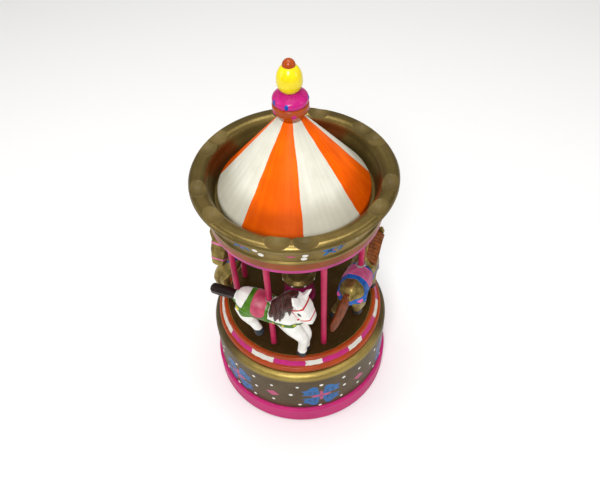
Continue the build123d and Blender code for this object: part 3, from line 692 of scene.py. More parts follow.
def paintMark(outline, centre, wall, angle, level, lift=0.09, rings=5, lean=0.0):
    # a blob of paint: rays from its centre to its outline, laid on the wall, highest inside and
    # rounded to nothing at the edge, with its underside just below the wall's skin
    outline, centre = np.asarray(outline, float), np.asarray(centre, float)
    closed = np.vstack([outline, outline[:1]])
    along = np.concatenate([[0], np.cumsum(np.hypot(*np.diff(closed, axis=0).T))])
    around = np.linspace(0, along[-1], max(24, int(along[-1] / 0.35)), endpoint=False)
    edge = np.stack([np.interp(around, along, column) for column in closed.T], -1)
    outwards = np.linspace(0, 1, rings)
    shares = np.concatenate([outwards, [1.0, 0.0]])
    heights = np.concatenate([lift * (1 - outwards ** 4), [sunk, sunk]])
    x, z = np.moveaxis(centre + shares[:, None, None] * (edge - centre)[None], -1, 0)
    turn = np.radians(angle) + (x + lean * z) / np.interp(level, *wall)
    points = onWall(wall, turn, level + z, heights[:, None])
    return points.reshape(-1, 3), gridFaces(len(shares), len(around))


def roundDot(width, height, steps=20):
    turn = np.linspace(0, 2 * np.pi, steps, endpoint=False)
    return np.stack([width / 2 * np.cos(turn), height / 2 * np.sin(turn)], -1)


def strokeOutline(start, end, thick):
    # a brush stroke: blunt where it starts, pointed where the brush lifts
    start, end = np.asarray(start, float), np.asarray(end, float)
    way = (end - start) / np.hypot(*(end - start))
    side = np.array([-way[1], way[0]]) * thick
    middle = start * 0.45 + end * 0.55
    return np.array([start - way * thick * 0.3, start + side / 2, middle + side * 0.4,
                     end, middle - side * 0.4, start - side / 2])


flatPaints = {
    "dotWhite": ("#E8E6E0", "#CFCCC4"), "flowerBlue": ("#1868A8", "#0E4C84"), "strokeNavy": ("#16324E", "#0C2036"),
    "flowerPink": ("#BE4C78", "#9C3A60"), "heartPurple": ("#5A3A7E", "#442860"),
    "dashWhite": ("#DCDAD2", "#BDBAB0"), "dashPink": ("#C02478", "#A01A60"), "finialBlue": ("#0A4CB0", "#043A8C"),
}
marks = {name: plainPaint(name, *tones, roughness=0.4, coat=0.06, patch=2.5, peel=0.3, streaks=0.35, dust=0.0,
                          nicks=0.0)
         for name, tones in flatPaints.items()}


def makeMarks(prefix, made, body, slot):
    # one piece for each paint
    for paint, parts in made.items():
        makePiece(prefix + paint[0].upper() + paint[1:], *joined(parts), marks[paint], body, slot, sharp=60,
                  merge=1e-7)


drumPattern = {
    # places in mm from the middle of each flower or diamond: (round the drum, up)
    "sectors": 6, "firstFlower": 14.0, "flowerLevel": 25.3, "diamondLevel": 26.6, "diamondTurn": -2,
    "petal": [(0.8, 0.5), (4.2, 1.3), (8.0, 1.7), (11.0, 2.2), (9.0, 4.4), (11.2, 7.0), (8.2, 7.3), (6.6, 8.8),
              (5.2, 10.0), (3.4, 10.4), (2.0, 8.8), (1.3, 5.0), (0.7, 1.6)],
    "petalCentre": (4.6, 4.8),
    "strokes": [((2.8, 2.5), (5.6, 3.6)), ((3.0, 3.8), (4.8, 6.6)), ((5.8, 3.2), (8.4, 4.6)),
                ((5.6, 4.6), (7.4, 6.6))],
    "strokeThick": 1.05,
    "arms": [(6.0, 0.3), (4.6, 1.0), (0.9, 1.1), (0.9, 4.4), (0.0, 5.2)],
    "diamond": [(4.0, -0.9), (0.3, 2.6), (-4.0, 0.9), (-0.3, -2.6)],
    "flowerDots": [(0, 10.9), (-1, -11.3), (13, 11.3), (-13, 11.3), (12, -8.8), (-12, -8.8)],
    "diamondDots": [(0, 8.3), (0, -7.0), (10.2, 1.2), (-10.2, 1.0)],
    "dotSize": 1.9, "heart": (2.2, 1.7),
}


def paintDrum(pattern):
    low, high = lowHigh("base_drum")
    wall = wallProfile("base_drum", low[2] + 0.5, high[2] - 4.0)
    petal, heart, arms, diamond = (np.array(pattern[part]) for part in ("petal", "petalCentre", "arms", "diamond"))
    # a quarter of the cross, mirrored into all four
    cross = np.concatenate([arms, (arms * (-1, 1))[::-1][1:], (arms * (-1, -1))[1:], (arms * (1, -1))[::-1][1:-1]])
    made = {"flowerBlue": [], "strokeNavy": [], "flowerPink": [], "heartPurple": [], "dotWhite": []}
    rng = np.random.default_rng(5)
    for sector in range(pattern["sectors"]):
        angle = pattern["firstFlower"] + sector * 360 / pattern["sectors"]
        middle = angle + 180 / pattern["sectors"] + pattern["diamondTurn"]
        level, diamondLevel = pattern["flowerLevel"], pattern["diamondLevel"]
        for sideways, upright in ((1, 1), (-1, 1), (-1, -1), (1, -1)):
            flip = np.array([sideways, upright])
            shape = (petal + rng.normal(0, 0.18, petal.shape)) * flip
            made["flowerBlue"].append(paintMark(shape, heart * flip, wall, angle, level))
            for start, end in pattern["strokes"]:
                start, end = np.array(start) + rng.normal(0, 0.25, 2), np.array(end) + rng.normal(0, 0.25, 2)
                line = strokeOutline(start * flip, end * flip, pattern["strokeThick"])
                made["strokeNavy"].append(paintMark(line, line.mean(0), wall, angle, level, lift=0.15, rings=3))
        shape = cross + rng.normal(0, 0.12, cross.shape)
        made["flowerPink"].append(paintMark(shape, (0, 0), wall, angle, level, lift=0.17))
        made["heartPurple"].append(paintMark(roundDot(*pattern["heart"]), (0, 0), wall, angle, level, lift=0.24))
        shape = diamond + rng.normal(0, 0.12, diamond.shape)
        made["flowerPink"].append(paintMark(shape, (0, 0), wall, middle, diamondLevel, lean=0.1))
        for place, spots, height in ((angle, pattern["flowerDots"], level),
                                     (middle, pattern["diamondDots"], diamondLevel)):
            for across, up in spots:
                size = pattern["dotSize"] * rng.uniform(0.85, 1.12)
                turn = place + math.degrees(across + rng.normal(0, 0.3)) / high[0]
                made["dotWhite"].append(paintMark(roundDot(size * 1.05, size), (0, 0), wall, turn,
                                                  height + up + rng.normal(0, 0.25), lift=0.2))
    makeMarks("drum", made, "base", "gold_paint")


friezePattern = {
    # one third of the ring, repeated: (degrees round, mm above the bead, size, number of petals)
    "repeats": 3, "bead": 8.2,   # mm from the underside to the top of the bead
    "flowers": ((-34.4, 3.5, 1.15, 5), (-41.5, 3.5, 0.8, 3), (22.0, 3.4, 1.25, 5), (30.5, 3.8, 1.0, 4),
                (26.5, 3.0, 0.5, 2)),
    # each petal: where its stroke starts and ends, and its thickness, in mm
    "petals": [((0.3, 0.3), (3.0, 1.9), 1.7), ((0.1, 0.5), (1.3, 3.2), 1.5), ((-0.3, 0.2), (-3.1, 1.5), 1.6),
               ((-0.2, -0.3), (-2.3, -2.3), 1.3), ((0.4, -0.3), (2.6, -1.7), 1.4)],
    "strokes": ((-29.5, 2.9), (-27.2, 2.4)), "stroke": ((-1.2, 0.4), (1.3, -0.5), 0.9),
    "dots": ((-22.9, 3.5), (-19.1, 1.9), (7.2, 3.2), (6.4, 1.4), (41.5, 3.4), (42.6, 5.6)), "dot": (2.7, 1.8),
    "diamond": (-1.2, 2.9), "diamondShape": [(2.4, 0), (0, 0.6), (-2.4, 0), (0, -0.6)],
    "bud": (1.8, 0.7), "budPlace": (2.6, -0.6),
}


def paintFrieze(pattern):
    base = lowHigh("canopy_ring")[0][2] + pattern["bead"]
    wall = wallProfile("canopy_ring", base + 0.1, base + 11.0)
    made = {"flowerBlue": [], "strokeNavy": [], "flowerPink": [], "dotWhite": []}
    rng = np.random.default_rng(9)

    def lay(paint, shape, turn, level, **more):
        shape = np.asarray(shape, float)
        made[paint].append(paintMark(shape, more.pop("centre", (0, 0)), wall, turned + turn, base + level, **more))

    for third in range(pattern["repeats"]):
        turned = third * 360 / pattern["repeats"]
        for turn, level, size, count in pattern["flowers"]:
            for start, end, thick in pattern["petals"][:count]:
                start, end = np.array(start) * size, np.array(end) * size + rng.normal(0, 0.25, 2)
                line = strokeOutline(start, end, thick * size)
                lay("flowerBlue", line, turn, level, centre=line.mean(0), rings=3)
                lay("strokeNavy", line * 0.45, turn, level, centre=line.mean(0) * 0.45, lift=0.15, rings=3)
        line = strokeOutline(*pattern["stroke"])
        for turn, level in pattern["strokes"]:
            lay("flowerBlue", line, turn, level, centre=line.mean(0), rings=3)
        aside, up = pattern["budPlace"]
        for turn, level, _, count in pattern["flowers"]:
            if count == len(pattern["petals"]):
                lay("flowerPink", roundDot(*pattern["bud"]), turn + aside, level + up, lift=0.16)
        for turn, level in pattern["dots"]:
            lay("dotWhite", roundDot(*pattern["dot"]), turn, level, lift=0.2)
        lay("flowerPink", pattern["diamondShape"], *pattern["diamond"], lift=0.12)
    makeMarks("frieze", made, "carousel", "gold_paint")


dashPattern = {
    # degrees where each dash ends, the first one white and then pink and white in turn
    "ends": (-86.4, -56.8, -34.9, -17.8, 4.9, 16.6, 37.2, 50.4, 70.9, 86.6, 106.5, 121.0, 142.5, 157.0, 178.5,
             193.5, 215.0, 229.0, 251.0, 273.6),
    "low": 4.15, "high": 6.75,   # mm above the platform's underside
    "radius": 43.0, "points": 30, "hairs": 9, "ragged": 0.30,
}


def paintDashes(pattern):
    bottom = lowHigh("platform")[0][2]
    wall = wallProfile("platform", bottom + 3.9, bottom + 7.2)
    ends, points = np.array(pattern["ends"]), pattern["points"]
    made = {"dashWhite": [], "dashPink": []}
    rng = np.random.default_rng(3)
    middle, half = bottom + (pattern["low"] + pattern["high"]) / 2, (pattern["high"] - pattern["low"]) / 2
    for number, (start, end) in enumerate(zip(ends[:-1], ends[1:])):
        span = np.radians(end - start) * pattern["radius"]
        across = np.linspace(-span / 2, span / 2, points)
        upper = half + 0.10 * np.sin(across * 0.9 + number) + rng.normal(0, 0.05, points)
        lower = -half + 0.08 * np.sin(across * 1.3 + 2 * number) + rng.normal(0, 0.05, points)
        # ragged brush ends: the stroke's hairs stop at different lengths
        right = span / 2 + rng.normal(0, pattern["ragged"], pattern["hairs"] - 2)
        left = -span / 2 + rng.normal(0, pattern["ragged"], pattern["hairs"] - 2)
        white = number % 2 == 0
        dash = bandMark(across, upper, lower, left, right, wall, (start + end) / 2, middle, 0.13 if white else 0.10)
        made["dashWhite" if white else "dashPink"].append(dash)
    makeMarks("platform", made, "carousel", "orange_paint")


def bandMark(across, upper, lower, left, right, wall, angle, level, lift, count=60):
    # a long mark: its upper and lower edges joined by rows across it; the ends follow the hairs
    hairs = dashPattern["hairs"]
    u, rows = np.linspace(0, 1, count), np.linspace(0, 1, hairs)
    first, last = min(across[0], left.min()), max(across[-1], right.max())
    x = first + (last - first) * u
    top, bottom = np.interp(x, across, upper), np.interp(x, across, lower)
    hairRows = np.linspace(0, 1, hairs - 2)
    ragRight, ragLeft = np.interp(rows, hairRows, right[::-1]), np.interp(rows, hairRows, left)
    y = bottom[None] + (top - bottom)[None] * rows[:, None]
    xs = ragLeft[:, None] + (ragRight - ragLeft)[:, None] * u[None]
    # full height inside, falling off at the ends and along both edges, with low ridges left by the hairs
    ridge = 0.03 * np.sin(rows * 40)[:, None]
    fromEnds = np.minimum(u, 1 - u)[None] * (last - first) / 0.25
    fromEdges = np.minimum(rows, 1 - rows)[:, None] * 2.6 / 0.2
    over = (lift + ridge) * np.clip(np.minimum(fromEnds, fromEdges), 0, 1) ** 0.5
    turn = np.radians(angle) + xs / dashPattern["radius"]
    upside, underside = (onWall(wall, turn, level + y, height) for height in (over, sunk))
    # the rows run over the top and back underneath, and the two sheets are stitched at both ends
    sheet = np.concatenate([upside, underside[::-1]], 0)
    n = len(sheet)
    row = np.arange(n // 2 - 1)
    stitches = [np.stack([row, row + 1, n - 2 - row, n - 1 - row], -1) * count + column for column in (0, count - 1)]
    faces = gridFaces(n, count, wrapRows=True, wrapColumns=False)
    return sheet.reshape(-1, 3), np.concatenate([faces, *stitches])


dotRings = {
    # piece: (part, its wall from and to, dots' level, all in mm above its foot or, below zero, from its top;
    #         degrees round; width, height and lift in mm; paint; slot)
    "capitalDots": ("column_capital", 0.1, 2.3, 1.1, np.arange(8) * 45.0 - 22.0, (1.5, 1.2), 0.16,
                    marks["dotWhite"], "gold_paint"),
    "finialBlueDots": ("finial_bead", 0.1, -0.4, 1.7, (-60.0, -10.5, 87.5, 140.0, -155.0), (1.7, 2.3), 0.14,
                       marks["finialBlue"], "finial_pink_paint"),
    "finialPinkDots": ("finial_collar", 0.6, -0.2, 4.5, (-60.0, 11.2, 82.0, 150.0, -130.0), (2.1, 2.2), 0.14,
                       finishes["finial_pink_paint"], "terracotta_paint"),
}


def paintDotRings(rings):
    for name, (node, wallFrom, wallTo, level, turns, size, lift, material, slot) in rings.items():
        foot, top = (corner[2] for corner in lowHigh(node))
        wall = wallProfile(node, foot + wallFrom, (foot if wallTo > 0 else top) + wallTo)
        dots = [paintMark(roundDot(*size), (0, 0), wall, turn, foot + level, lift=lift) for turn in turns]
        makePiece(name, *joined(dots), material, "carousel", slot, sharp=60, merge=1e-7)


# ---- horses

def pathThrough(points, steps):
    # an even walk through the points on Catmull-Rom curves; every column of the row is carried along
    points = np.asarray(points, float)
    padded = np.concatenate([2 * points[:1] - points[1:2], points, 2 * points[-1:] - points[-2:-1]])
    spans = len(points) - 1
    walk = np.linspace(0, spans, steps)
    index = np.minimum(walk.astype(int), spans - 1)
    t = (walk - index)[:, None]
    a, b, c, d = (padded[index + k] for k in range(4))
    return 0.5 * (2 * b + (c - a) * t + (2 * a - 5 * b + 4 * c - d) * t ** 2 + (3 * b - a - 3 * c + d) * t ** 3)


def whittled(points, across=(0, 1, 0), sides=8, facet=0.8, steps=40, around=48, curved=True, grooves=(0, 0.0)):
    # a limb whittled from a stick: rows of (x, y, z, half width, half depth) give its path and girth; each
    # section is an ellipse pulled towards a polygon of so many sides, and both ends are rounded off
    points, across = np.asarray(points, float), np.asarray(across, float)
    straight = np.linspace(0, len(points) - 1, steps)
    rows = pathThrough(points, steps) if curved else np.stack(
        [np.interp(straight, np.arange(len(points)), column) for column in points.T], -1)
    centre, width, depth = rows[:, :3], np.maximum(rows[:, 3], 0.05), np.maximum(rows[:, 4], 0.05)
    forward = np.gradient(centre, axis=0)
    forward /= np.linalg.norm(forward, axis=1, keepdims=True)
    side = across[None] - forward * (forward @ across)[:, None]
    side /= np.linalg.norm(side, axis=1, keepdims=True)
    down = np.cross(forward, side)
    # rings of the rounded ends shrink over a quarter turn
    capRings = 6
    cap = np.radians(np.linspace(90, 0, capRings + 1))[:-1]
    capShare, capReach = np.cos(cap), np.sin(cap)
    reach = np.minimum(width, depth)
    centre = np.concatenate([centre[0] - forward[0] * reach[0] * 0.8 * capReach[:, None], centre,
                             centre[-1] + forward[-1] * reach[-1] * 0.8 * capReach[::-1, None]])
    share = np.concatenate([capShare, np.ones(len(width)), capShare[::-1]])
    pick = np.pad(np.arange(len(width)), capRings, mode="edge")
    angle = np.linspace(0, 2 * np.pi, around, endpoint=False)
    corner = np.pi / sides   # half the angle from one corner of the polygon to the next
    polygon = np.cos(corner) / np.cos((angle + corner) % (2 * corner) - corner)
    count, groove = grooves
    radius = (1 - facet) + facet * polygon / polygon.mean() + groove * np.cos(count * angle)
    x = (width[pick] * share)[:, None] * (radius * np.cos(angle))[None]
    y = (depth[pick] * share)[:, None] * (radius * np.sin(angle))[None]
    surface = centre[:, None] + x[..., None] * side[pick][:, None] + y[..., None] * down[pick][:, None]
    return surface.reshape(-1, 3), gridFaces(len(pick), around)


horseShape = {
    # rows of (forward, sideways, up, half width, half depth) in mm, up from the back's level
    "torso": [(-17.2, 0, -8.6, 3.0, 3.6), (-14.0, 0, -8.4, 5.9, 6.7), (-8.0, 0, -9.2, 6.7, 7.5),
              (0.0, 0, -9.8, 6.2, 6.9), (7.0, 0, -9.0, 6.4, 7.4), (12.4, 0, -8.6, 5.6, 6.8),
              (15.4, 0, -8.8, 3.2, 4.2)],
    "neck": [(7.8, 0, -6.5, 5.0, 7.6), (11.6, 0, 0.0, 4.2, 5.8), (14.0, 0, 5.0, 3.4, 4.2)],
    "head": [(13.6, 0, 6.4, 3.4, 3.2), (15.6, 0, 3.6, 4.7, 4.4), (17.6, 0, 0.2, 4.7, 4.3),
             (19.6, 0, -3.8, 4.0, 3.5), (20.8, 0, -6.4, 3.6, 3.0)],
    "foreleg": [(9.0, 2.4, -11.5, 3.8, 5.4), (12.8, 2.3, -16.8, 3.7, 4.7), (16.8, 2.0, -22.0, 2.9, 3.5),
                (17.8, 1.8, -25.2, 2.4, 2.8), (17.4, 1.8, -29.6, 2.1, 2.3), (17.0, 1.9, -34.2, 2.1, 2.4),
                (16.8, 2.0, -37.4, 2.3, 2.7)],
    "hindleg": [(-12.0, 3.0, -11.5, 3.9, 5.8), (-11.0, 3.5, -16.6, 3.4, 4.6), (-10.0, 3.5, -19.6, 2.7, 3.3),
                (-8.4, 3.4, -22.0, 2.3, 2.5), (-7.0, 3.4, -24.4, 2.2, 2.3), (-6.2, 3.4, -26.2, 2.4, 2.5),
                (-5.6, 3.4, -28.0, 2.7, 2.8)],
    "farHindShift": -7.5,
    "nearEar": [(16.4, -2.6, 4.6, 2.2, 1.7), (15.6, -3.9, 8.8, 2.4, 1.1), (14.6, -5.0, 12.6, 0.4, 0.3)],
    "farEar": [(16.6, 2.4, 4.4, 2.2, 1.7), (18.2, 3.6, 7.4, 2.4, 1.1), (20.0, 4.6, 10.2, 0.4, 0.3)],
    "voxel": 0.34, "sanding": 2,
}


def carveHorse(shape):
    # torso, neck, head, ears and legs whittled apart, then merged into one carving
    limbs = [whittled(shape["torso"], sides=9, facet=0.55, around=72), whittled(shape["neck"], sides=8, facet=0.6),
             whittled(shape["head"], sides=4, facet=0.72, curved=False, steps=48, around=64)]
    for mirror in (1, -1):
        for limb in ("foreleg", "hindleg"):
            rows = np.array(shape[limb]) * (1, mirror, 1, 1, 1)
            if limb == "hindleg" and mirror == 1:
                rows[:, 0] += np.linspace(0, shape["farHindShift"], len(rows))
            limbs.append(whittled(rows, sides=7, facet=0.7))
    for ear in ("nearEar", "farEar"):
        limbs.append(whittled(shape[ear], sides=4, facet=0.7, curved=False))
    return carve("horseBlank", limbs, shape["voxel"], shape["sanding"])


harness = {
    "saddle": (-3.8, 3.7, -10.0, 3.6),   # middle, half length, lower edge, corner rounding
    "clothBack": (-9.2, 0.42), "clothFront": 0.9,   # rear edge and its slope, front edge
    "clothLow": (-13.4, 3.0),                       # lower edge, corner rounding
    "girth": (0.4, 1.05), "breast": (-10.6, 0.0, 1.25), "breeching": (-9.6, -0.06, 1.7),
    "poll": (14.4, 5.6), "headWay": (0.515, -0.857),   # top of the head, and its way down to the muzzle
    "browband": (3.2, 0.60), "noseband": (11.4, 0.52), "cheek": (-3.2, 0.44),
    "eye": (6.4, -0.2, 1.35, 0.85), "hoof": (-34.6, -24.8), "studs": (4.5, 9.5, 14.5), "studSize": 0.62,
    "bow": (0.6, -12.6, 2.4, 0.8),
}


def roundedPatch(x, z, middle, half, low, rounding):
    # distance inside a band of the back that hangs to a lower edge with round corners
    across, below = np.abs(x - middle) - (half - rounding), (low + rounding) - z
    return rounding - np.hypot(np.maximum(across, 0), np.maximum(below, 0)) - np.minimum(np.maximum(across, below), 0)


def harnessFields(p, plan):
    # how far inside each painted area every point of the carving lies, in mm
    x, y, z = p.T
    away = np.stack([x - plan["poll"][0], z - plan["poll"][1]], -1)
    way = np.array(plan["headWay"])
    down, fore = away @ way, away @ np.array([-way[1], way[0]])
    onHead = np.minimum(down + 1.0, 5.6 - np.abs(fore))
    torso = np.minimum(-onHead, z + 22.0)
    saddle = roundedPatch(x, z, *plan["saddle"])
    back = plan["clothBack"][0] + plan["clothBack"][1] * z
    cloth = roundedPatch(x, z, (back + plan["clothFront"]) / 2, (plan["clothFront"] - back) / 2, *plan["clothLow"])
    girth = np.minimum(plan["girth"][1] - np.abs(x - plan["girth"][0]), -3.0 - z)
    start, slope, half = plan["breast"]
    breastLine = start + slope * (x - 1.0)
    breast = np.minimum.reduce([half - np.abs(z - breastLine), x - 0.5, torso])
    start, slope, half = plan["breeching"]
    breeching = np.minimum(half - np.abs(z - start - slope * (x + 10)), -9.5 - x)
    # a bow of two crossed leaves where the girth meets the breast strap
    bowX, bowZ, leaf, thick = plan["bow"]
    along, across = (x - bowX) * 0.8 + (z - bowZ) * 0.6, (z - bowZ) * 0.8 - (x - bowX) * 0.6
    leaves = [(1 - np.hypot(a / leaf, b / thick)) * thick for a, b in ((along, across), (across, along))]
    strap = np.maximum.reduce([girth, breast, breeching, *leaves])
    brow, nose, cheek = (half - np.abs(line - middle) for line, (middle, half) in
                         ((down, plan["browband"]), (down, plan["noseband"]), (fore, plan["cheek"])))
    cheek = np.minimum.reduce([cheek, down - plan["browband"][0], plan["noseband"][0] - down, np.abs(y) - 1.5])
    bridle = np.minimum(np.maximum.reduce([brow, nose, cheek]), onHead)
    eyeDown, eyeFore, eyeLong, eyeHigh = plan["eye"]
    eye = (1 - np.hypot((down - eyeDown) / eyeLong, (fore - eyeFore) / eyeHigh)) * eyeHigh
    eye = np.minimum(eye, np.abs(y) - 1.5)
    studs = np.max([plan["studSize"] - np.hypot(x - s, z - (plan["breast"][0] + plan["breast"][1] * (s - 1.0)))
                    for s in plan["studs"]], axis=0)
    studs = np.maximum(studs, plan["studSize"] * 2.0 - np.hypot(x + 15.0, z + 9.6))
    fields = {"saddle": saddle, "cloth": cloth, "strap": strap, "bridle": bridle, "eye": eye,
              "hoof": np.where(x > 2, plan["hoof"][0] - z, plan["hoof"][1] - z), "stud": np.minimum(studs, strap)}
    return {name: np.clip(field, -2, 2) for name, field in fields.items()}


def dressHorse(blank, plan):
    # the harness stands a little proud of the carving, each layer eased in over its edge
    p, normal = meshArrays(blank)
    fields = harnessFields(p, plan)
    rise = {"cloth": 0.35, "saddle": 0.45, "strap": 0.35, "bridle": 0.16, "eye": 0.10, "stud": 0.15}
    lift = sum(height * smoothStep(-0.12, 0.30, fields[name]) for name, height in rise.items())
    # the strap doesn't stack on the cloth it joins
    lift = np.where(fields["cloth"] > 0, np.minimum(lift, 0.85), lift)
    return p + normal * lift[:, None], fields


def horsePaint(name, colors, metallic=0.0):
    # the coat, then each painted area where its distance field rises above zero, with a hand's waver
    material, tree, shader = newMaterial(name, coat=0.05 if metallic else 0.12, coatRoughness=0.18)
    film = useGroup(tree, paintFilm, 4.0, 0.35)
    flake = useGroup(tree, metalFlake, 0.14)[0]
    waver = noiseAt(tree, objectMillimetres(tree), 0.9)
    tone = addUp(tree, (film["Tone"], 0.7), (flake, 0.5 if metallic else 0.05))
    color, bare = mixColor(tree, tone, *colors["coat"]), 1.0
    for area in ("hoof", "cloth", "strap", "saddle", "stud", "bridle", "eye"):
        field = addNode(tree, "Attribute", attribute_name=area).outputs["Fac"]
        reach = calc(tree, "MULTIPLY_ADD", waver, 0.2 if area == "bridle" else 0.36,
                     calc(tree, "SUBTRACT", field, 0.18))
        mask = softMask(tree, reach, -0.05, 0.05)
        color = mixColor(tree, mask, color, mixColor(tree, film["Tone"], *colors[area]))
        bare = calc(tree, "MULTIPLY", bare, calc(tree, "SUBTRACT", 1.0, mask))
    wireShader(tree, shader, speckled(tree, color, 4.0, 0.05, 0.35, "#5A5048"),
               addUp(tree, (film["Peel"], 0.5), (waver, 0.8)), 0.10,
               roughness=addUp(tree, (film["Peel"], 0.15), (1.0, 0.40 if metallic else 0.26)),
               metallic=calc(tree, "MULTIPLY", bare, metallic) if metallic else None)
    return material


horseColors = {
    "white": {"coat": ("#F2F1EC", "#DCDAD2"), "hoof": ("#1E2C38", "#141C24"), "cloth": ("#4E8010", "#305A06"),
              "strap": ("#4E8010", "#305A06"), "saddle": ("#C45068", "#AC3C58"), "stud": ("#E8DC20", "#C8B810"),
              "bridle": ("#D00C20", "#B0081A"), "eye": ("#101418", "#08080A")},
    "gold": {"coat": ("#B09A58", "#6E5E30"), "hoof": ("#1C2228", "#101418"), "cloth": ("#1560B4", "#0A4690"),
             "strap": ("#1560B4", "#0A4690"), "saddle": ("#C4608A", "#A84870"), "stud": ("#E068A8", "#C84C90"),
             "bridle": ("#D87CA4", "#BE5C88"), "eye": ("#101418", "#08080A")},
}
hairColors = {
    "white": {"mane": ("#54281E", "#0C0403"), "tail": ("#24120E", "#100604")},
    "gold": {"mane": ("#8C4E20", "#3A1C08"), "tail": ("#803C14", "#5A2806")},
}


def hairPaint(name, light, dark):
    # glossy brown brushed along the hair: tone follows the "strand" attribute of the carving
    material, tree, shader = newMaterial(name, coat=0.12, coatRoughness=0.15)
    film = useGroup(tree, paintFilm, 2.0, 0.3)
    strand = addNode(tree, "Attribute", attribute_name="strand").outputs["Fac"]
    tone = addUp(tree, (film["Tone"], 0.5), (strand, 0.5))
    wireShader(tree, shader, mixColor(tree, tone, dark, light), film["Peel"], 0.08,
               roughness=addUp(tree, (film["Peel"], 0.15), (1.0, 0.22)))
    return material


maneShape = {
    "crest": [(3.2, -2.2), (6.0, 1.6), (8.8, 5.8), (11.4, 8.8), (14.6, 9.6)],
    "locks": 11, "lockWidth": 1.15, "lockThick": 1.1, "reach": (9.5, 16.5),
}


def carveLockMane(shape):
    # locks rooted along the crest, falling over the right of the neck to separate points
    crest = np.array(shape["crest"], float)
    rng = np.random.default_rng(11)
    locks = []
    for lock in range(shape["locks"]):
        share = lock / (shape["locks"] - 1) * (len(crest) - 1)
        x, z = (np.interp(share, np.arange(len(crest)), column) for column in crest.T)
        reach = rng.uniform(*shape["reach"]) * (0.72 + 0.28 * math.sin(math.pi * lock / (shape["locks"] - 1)))
        back, width = rng.uniform(-1.6, -0.2), shape["lockWidth"] * rng.uniform(0.85, 1.25)
        bulge = 4.6 + 0.8 * math.sin(share) + (0.45 if lock % 2 else -0.25)
        path = [(x, 0.8, z + 0.5, width * 0.8, 0.8), (x - 0.1, -1.8, z + 0.5, width, shape["lockThick"] * 1.2),
                (x + back * 0.3, -bulge, z - 0.30 * reach, width * 1.1, shape["lockThick"]),
                (x + back * 0.7, -bulge - 0.5, z - 0.65 * reach, width * 0.8, shape["lockThick"] * 0.9),
                (x + back * 1.3, -bulge - 0.1, z - reach, 0.12, 0.12)]
        locks.append(whittled(path, across=(0.6, 0, 0.8), sides=6, facet=0.3, steps=30, around=20))
    # a ridge along the crest ties the roots together
    ridge = [(x, -0.2, z + 0.1, 1.5, 1.3) for x, z in crest]
    locks.append(whittled(ridge, sides=6, facet=0.4, steps=30, around=24))
    return carve("maneBlank", locks, 0.26, 1)


def carvePanelMane(shape):
    # a flat panel of mane: a slab that hangs from the crest, with slanting cuts across its face
    rows, around = 90, 72
    u, v = np.meshgrid(np.linspace(0, 1, rows), np.linspace(0, 2 * np.pi, around, endpoint=False), indexing="ij")
    crest = pathThrough(shape["crest"], rows)
    x0, z0 = crest[:, 0][:, None], crest[:, 1][:, None]
    long = 6.6 * (0.75 + 0.25 * np.sin(np.pi * u))
    drop = 0.5 * (1 - np.cos(v))             # 0 at the crest edge, 1 at the hanging edge
    face = np.sin(v)                          # +1 outer face, -1 inner face
    thick = 1.1 * np.sign(face) * np.abs(face) ** 0.6
    cut = np.abs(((u * 11 + drop * 2.2) % 1.0) - 0.5) * 2
    groove = 0.8 * smoothStep(0.0, 0.35, cut) - 0.8
    y = -1.2 - 4.4 * np.sin(np.clip(drop * 1.5, 0, 1) * np.pi / 2) - thick - np.where(face > 0.2, groove, 0)
    end = np.minimum(u, 1 - u) / 0.05
    squeeze = np.sqrt(np.clip(end, 0, 1) * (2 - np.clip(end, 0, 1)))
    y = -4.0 + (y + 4.0) * np.where(end < 1, squeeze, 1)
    x = x0 + 0.15 * long * drop
    z = z0 + 1.0 - long * drop * 0.9
    surface = np.stack([x, y, z], -1)
    mid = surface.mean(1, keepdims=True)
    surface = mid + (surface - mid) * squeeze[..., None]
    return carve("maneBlank", [(surface.reshape(-1, 3), gridFaces(rows, around))], 0.24, 1)


tailShape = {
    "white": [(-14.8, 0, -7.4, 1.8, 1.8), (-19.0, 0, -7.6, 2.4, 2.4), (-25.0, 0, -8.0, 2.8, 2.7),
              (-30.4, 0, -8.4, 2.7, 2.6)],
    "gold": [(-15.2, 0, -5.2, 1.7, 1.6), (-18.6, 0.8, -8.4, 2.3, 2.1), (-21.2, 2.6, -17.0, 2.3, 1.9),
             (-23.4, 4.6, -25.0, 2.0, 1.5), (-24.6, 5.4, -29.0, 1.0, 0.6)],
}


def setStrand(mesh, p, cuts):
    # fine bands along the hair for its paint; on the cut panel, narrow dark lines down the grooves
    wave = 0.5 + 0.5 * np.sin(p[:, 0] * 5.2 - p[:, 2] * 0.6 + 0.8 * np.sin(p[:, 1] * 1.4))
    if cuts:
        wave = smoothStep(0.05, 0.4, np.abs(((p[:, 0] - 3.2 + p[:, 1] * 0.2) * cuts) % 1.0 - 0.5) * 2)
    mesh.attributes.new("strand", "FLOAT", "POINT").data.foreach_set("value", wave.astype(np.float32))


def placedMesh(name, skin, p, turn, level, fields=None):
    # a horse piece carried from its own axes to its place on the platform
    a = math.radians(turn)
    x, y, z = p[:, 0], p[:, 1] - poleCircle, p[:, 2] + level
    world = np.stack([math.cos(a) * x - math.sin(a) * y, math.sin(a) * x + math.cos(a) * y, z], -1)
    mesh = skin.copy()
    mesh.name = name
    mesh.vertices.foreach_set("co", (world * mm).astype(np.float32).ravel())
    for label, values in (fields or {}).items():
        mesh.attributes.new(label, "FLOAT", "POINT").data.foreach_set("value", values.astype(np.float32))
    mesh.update()
    return mesh


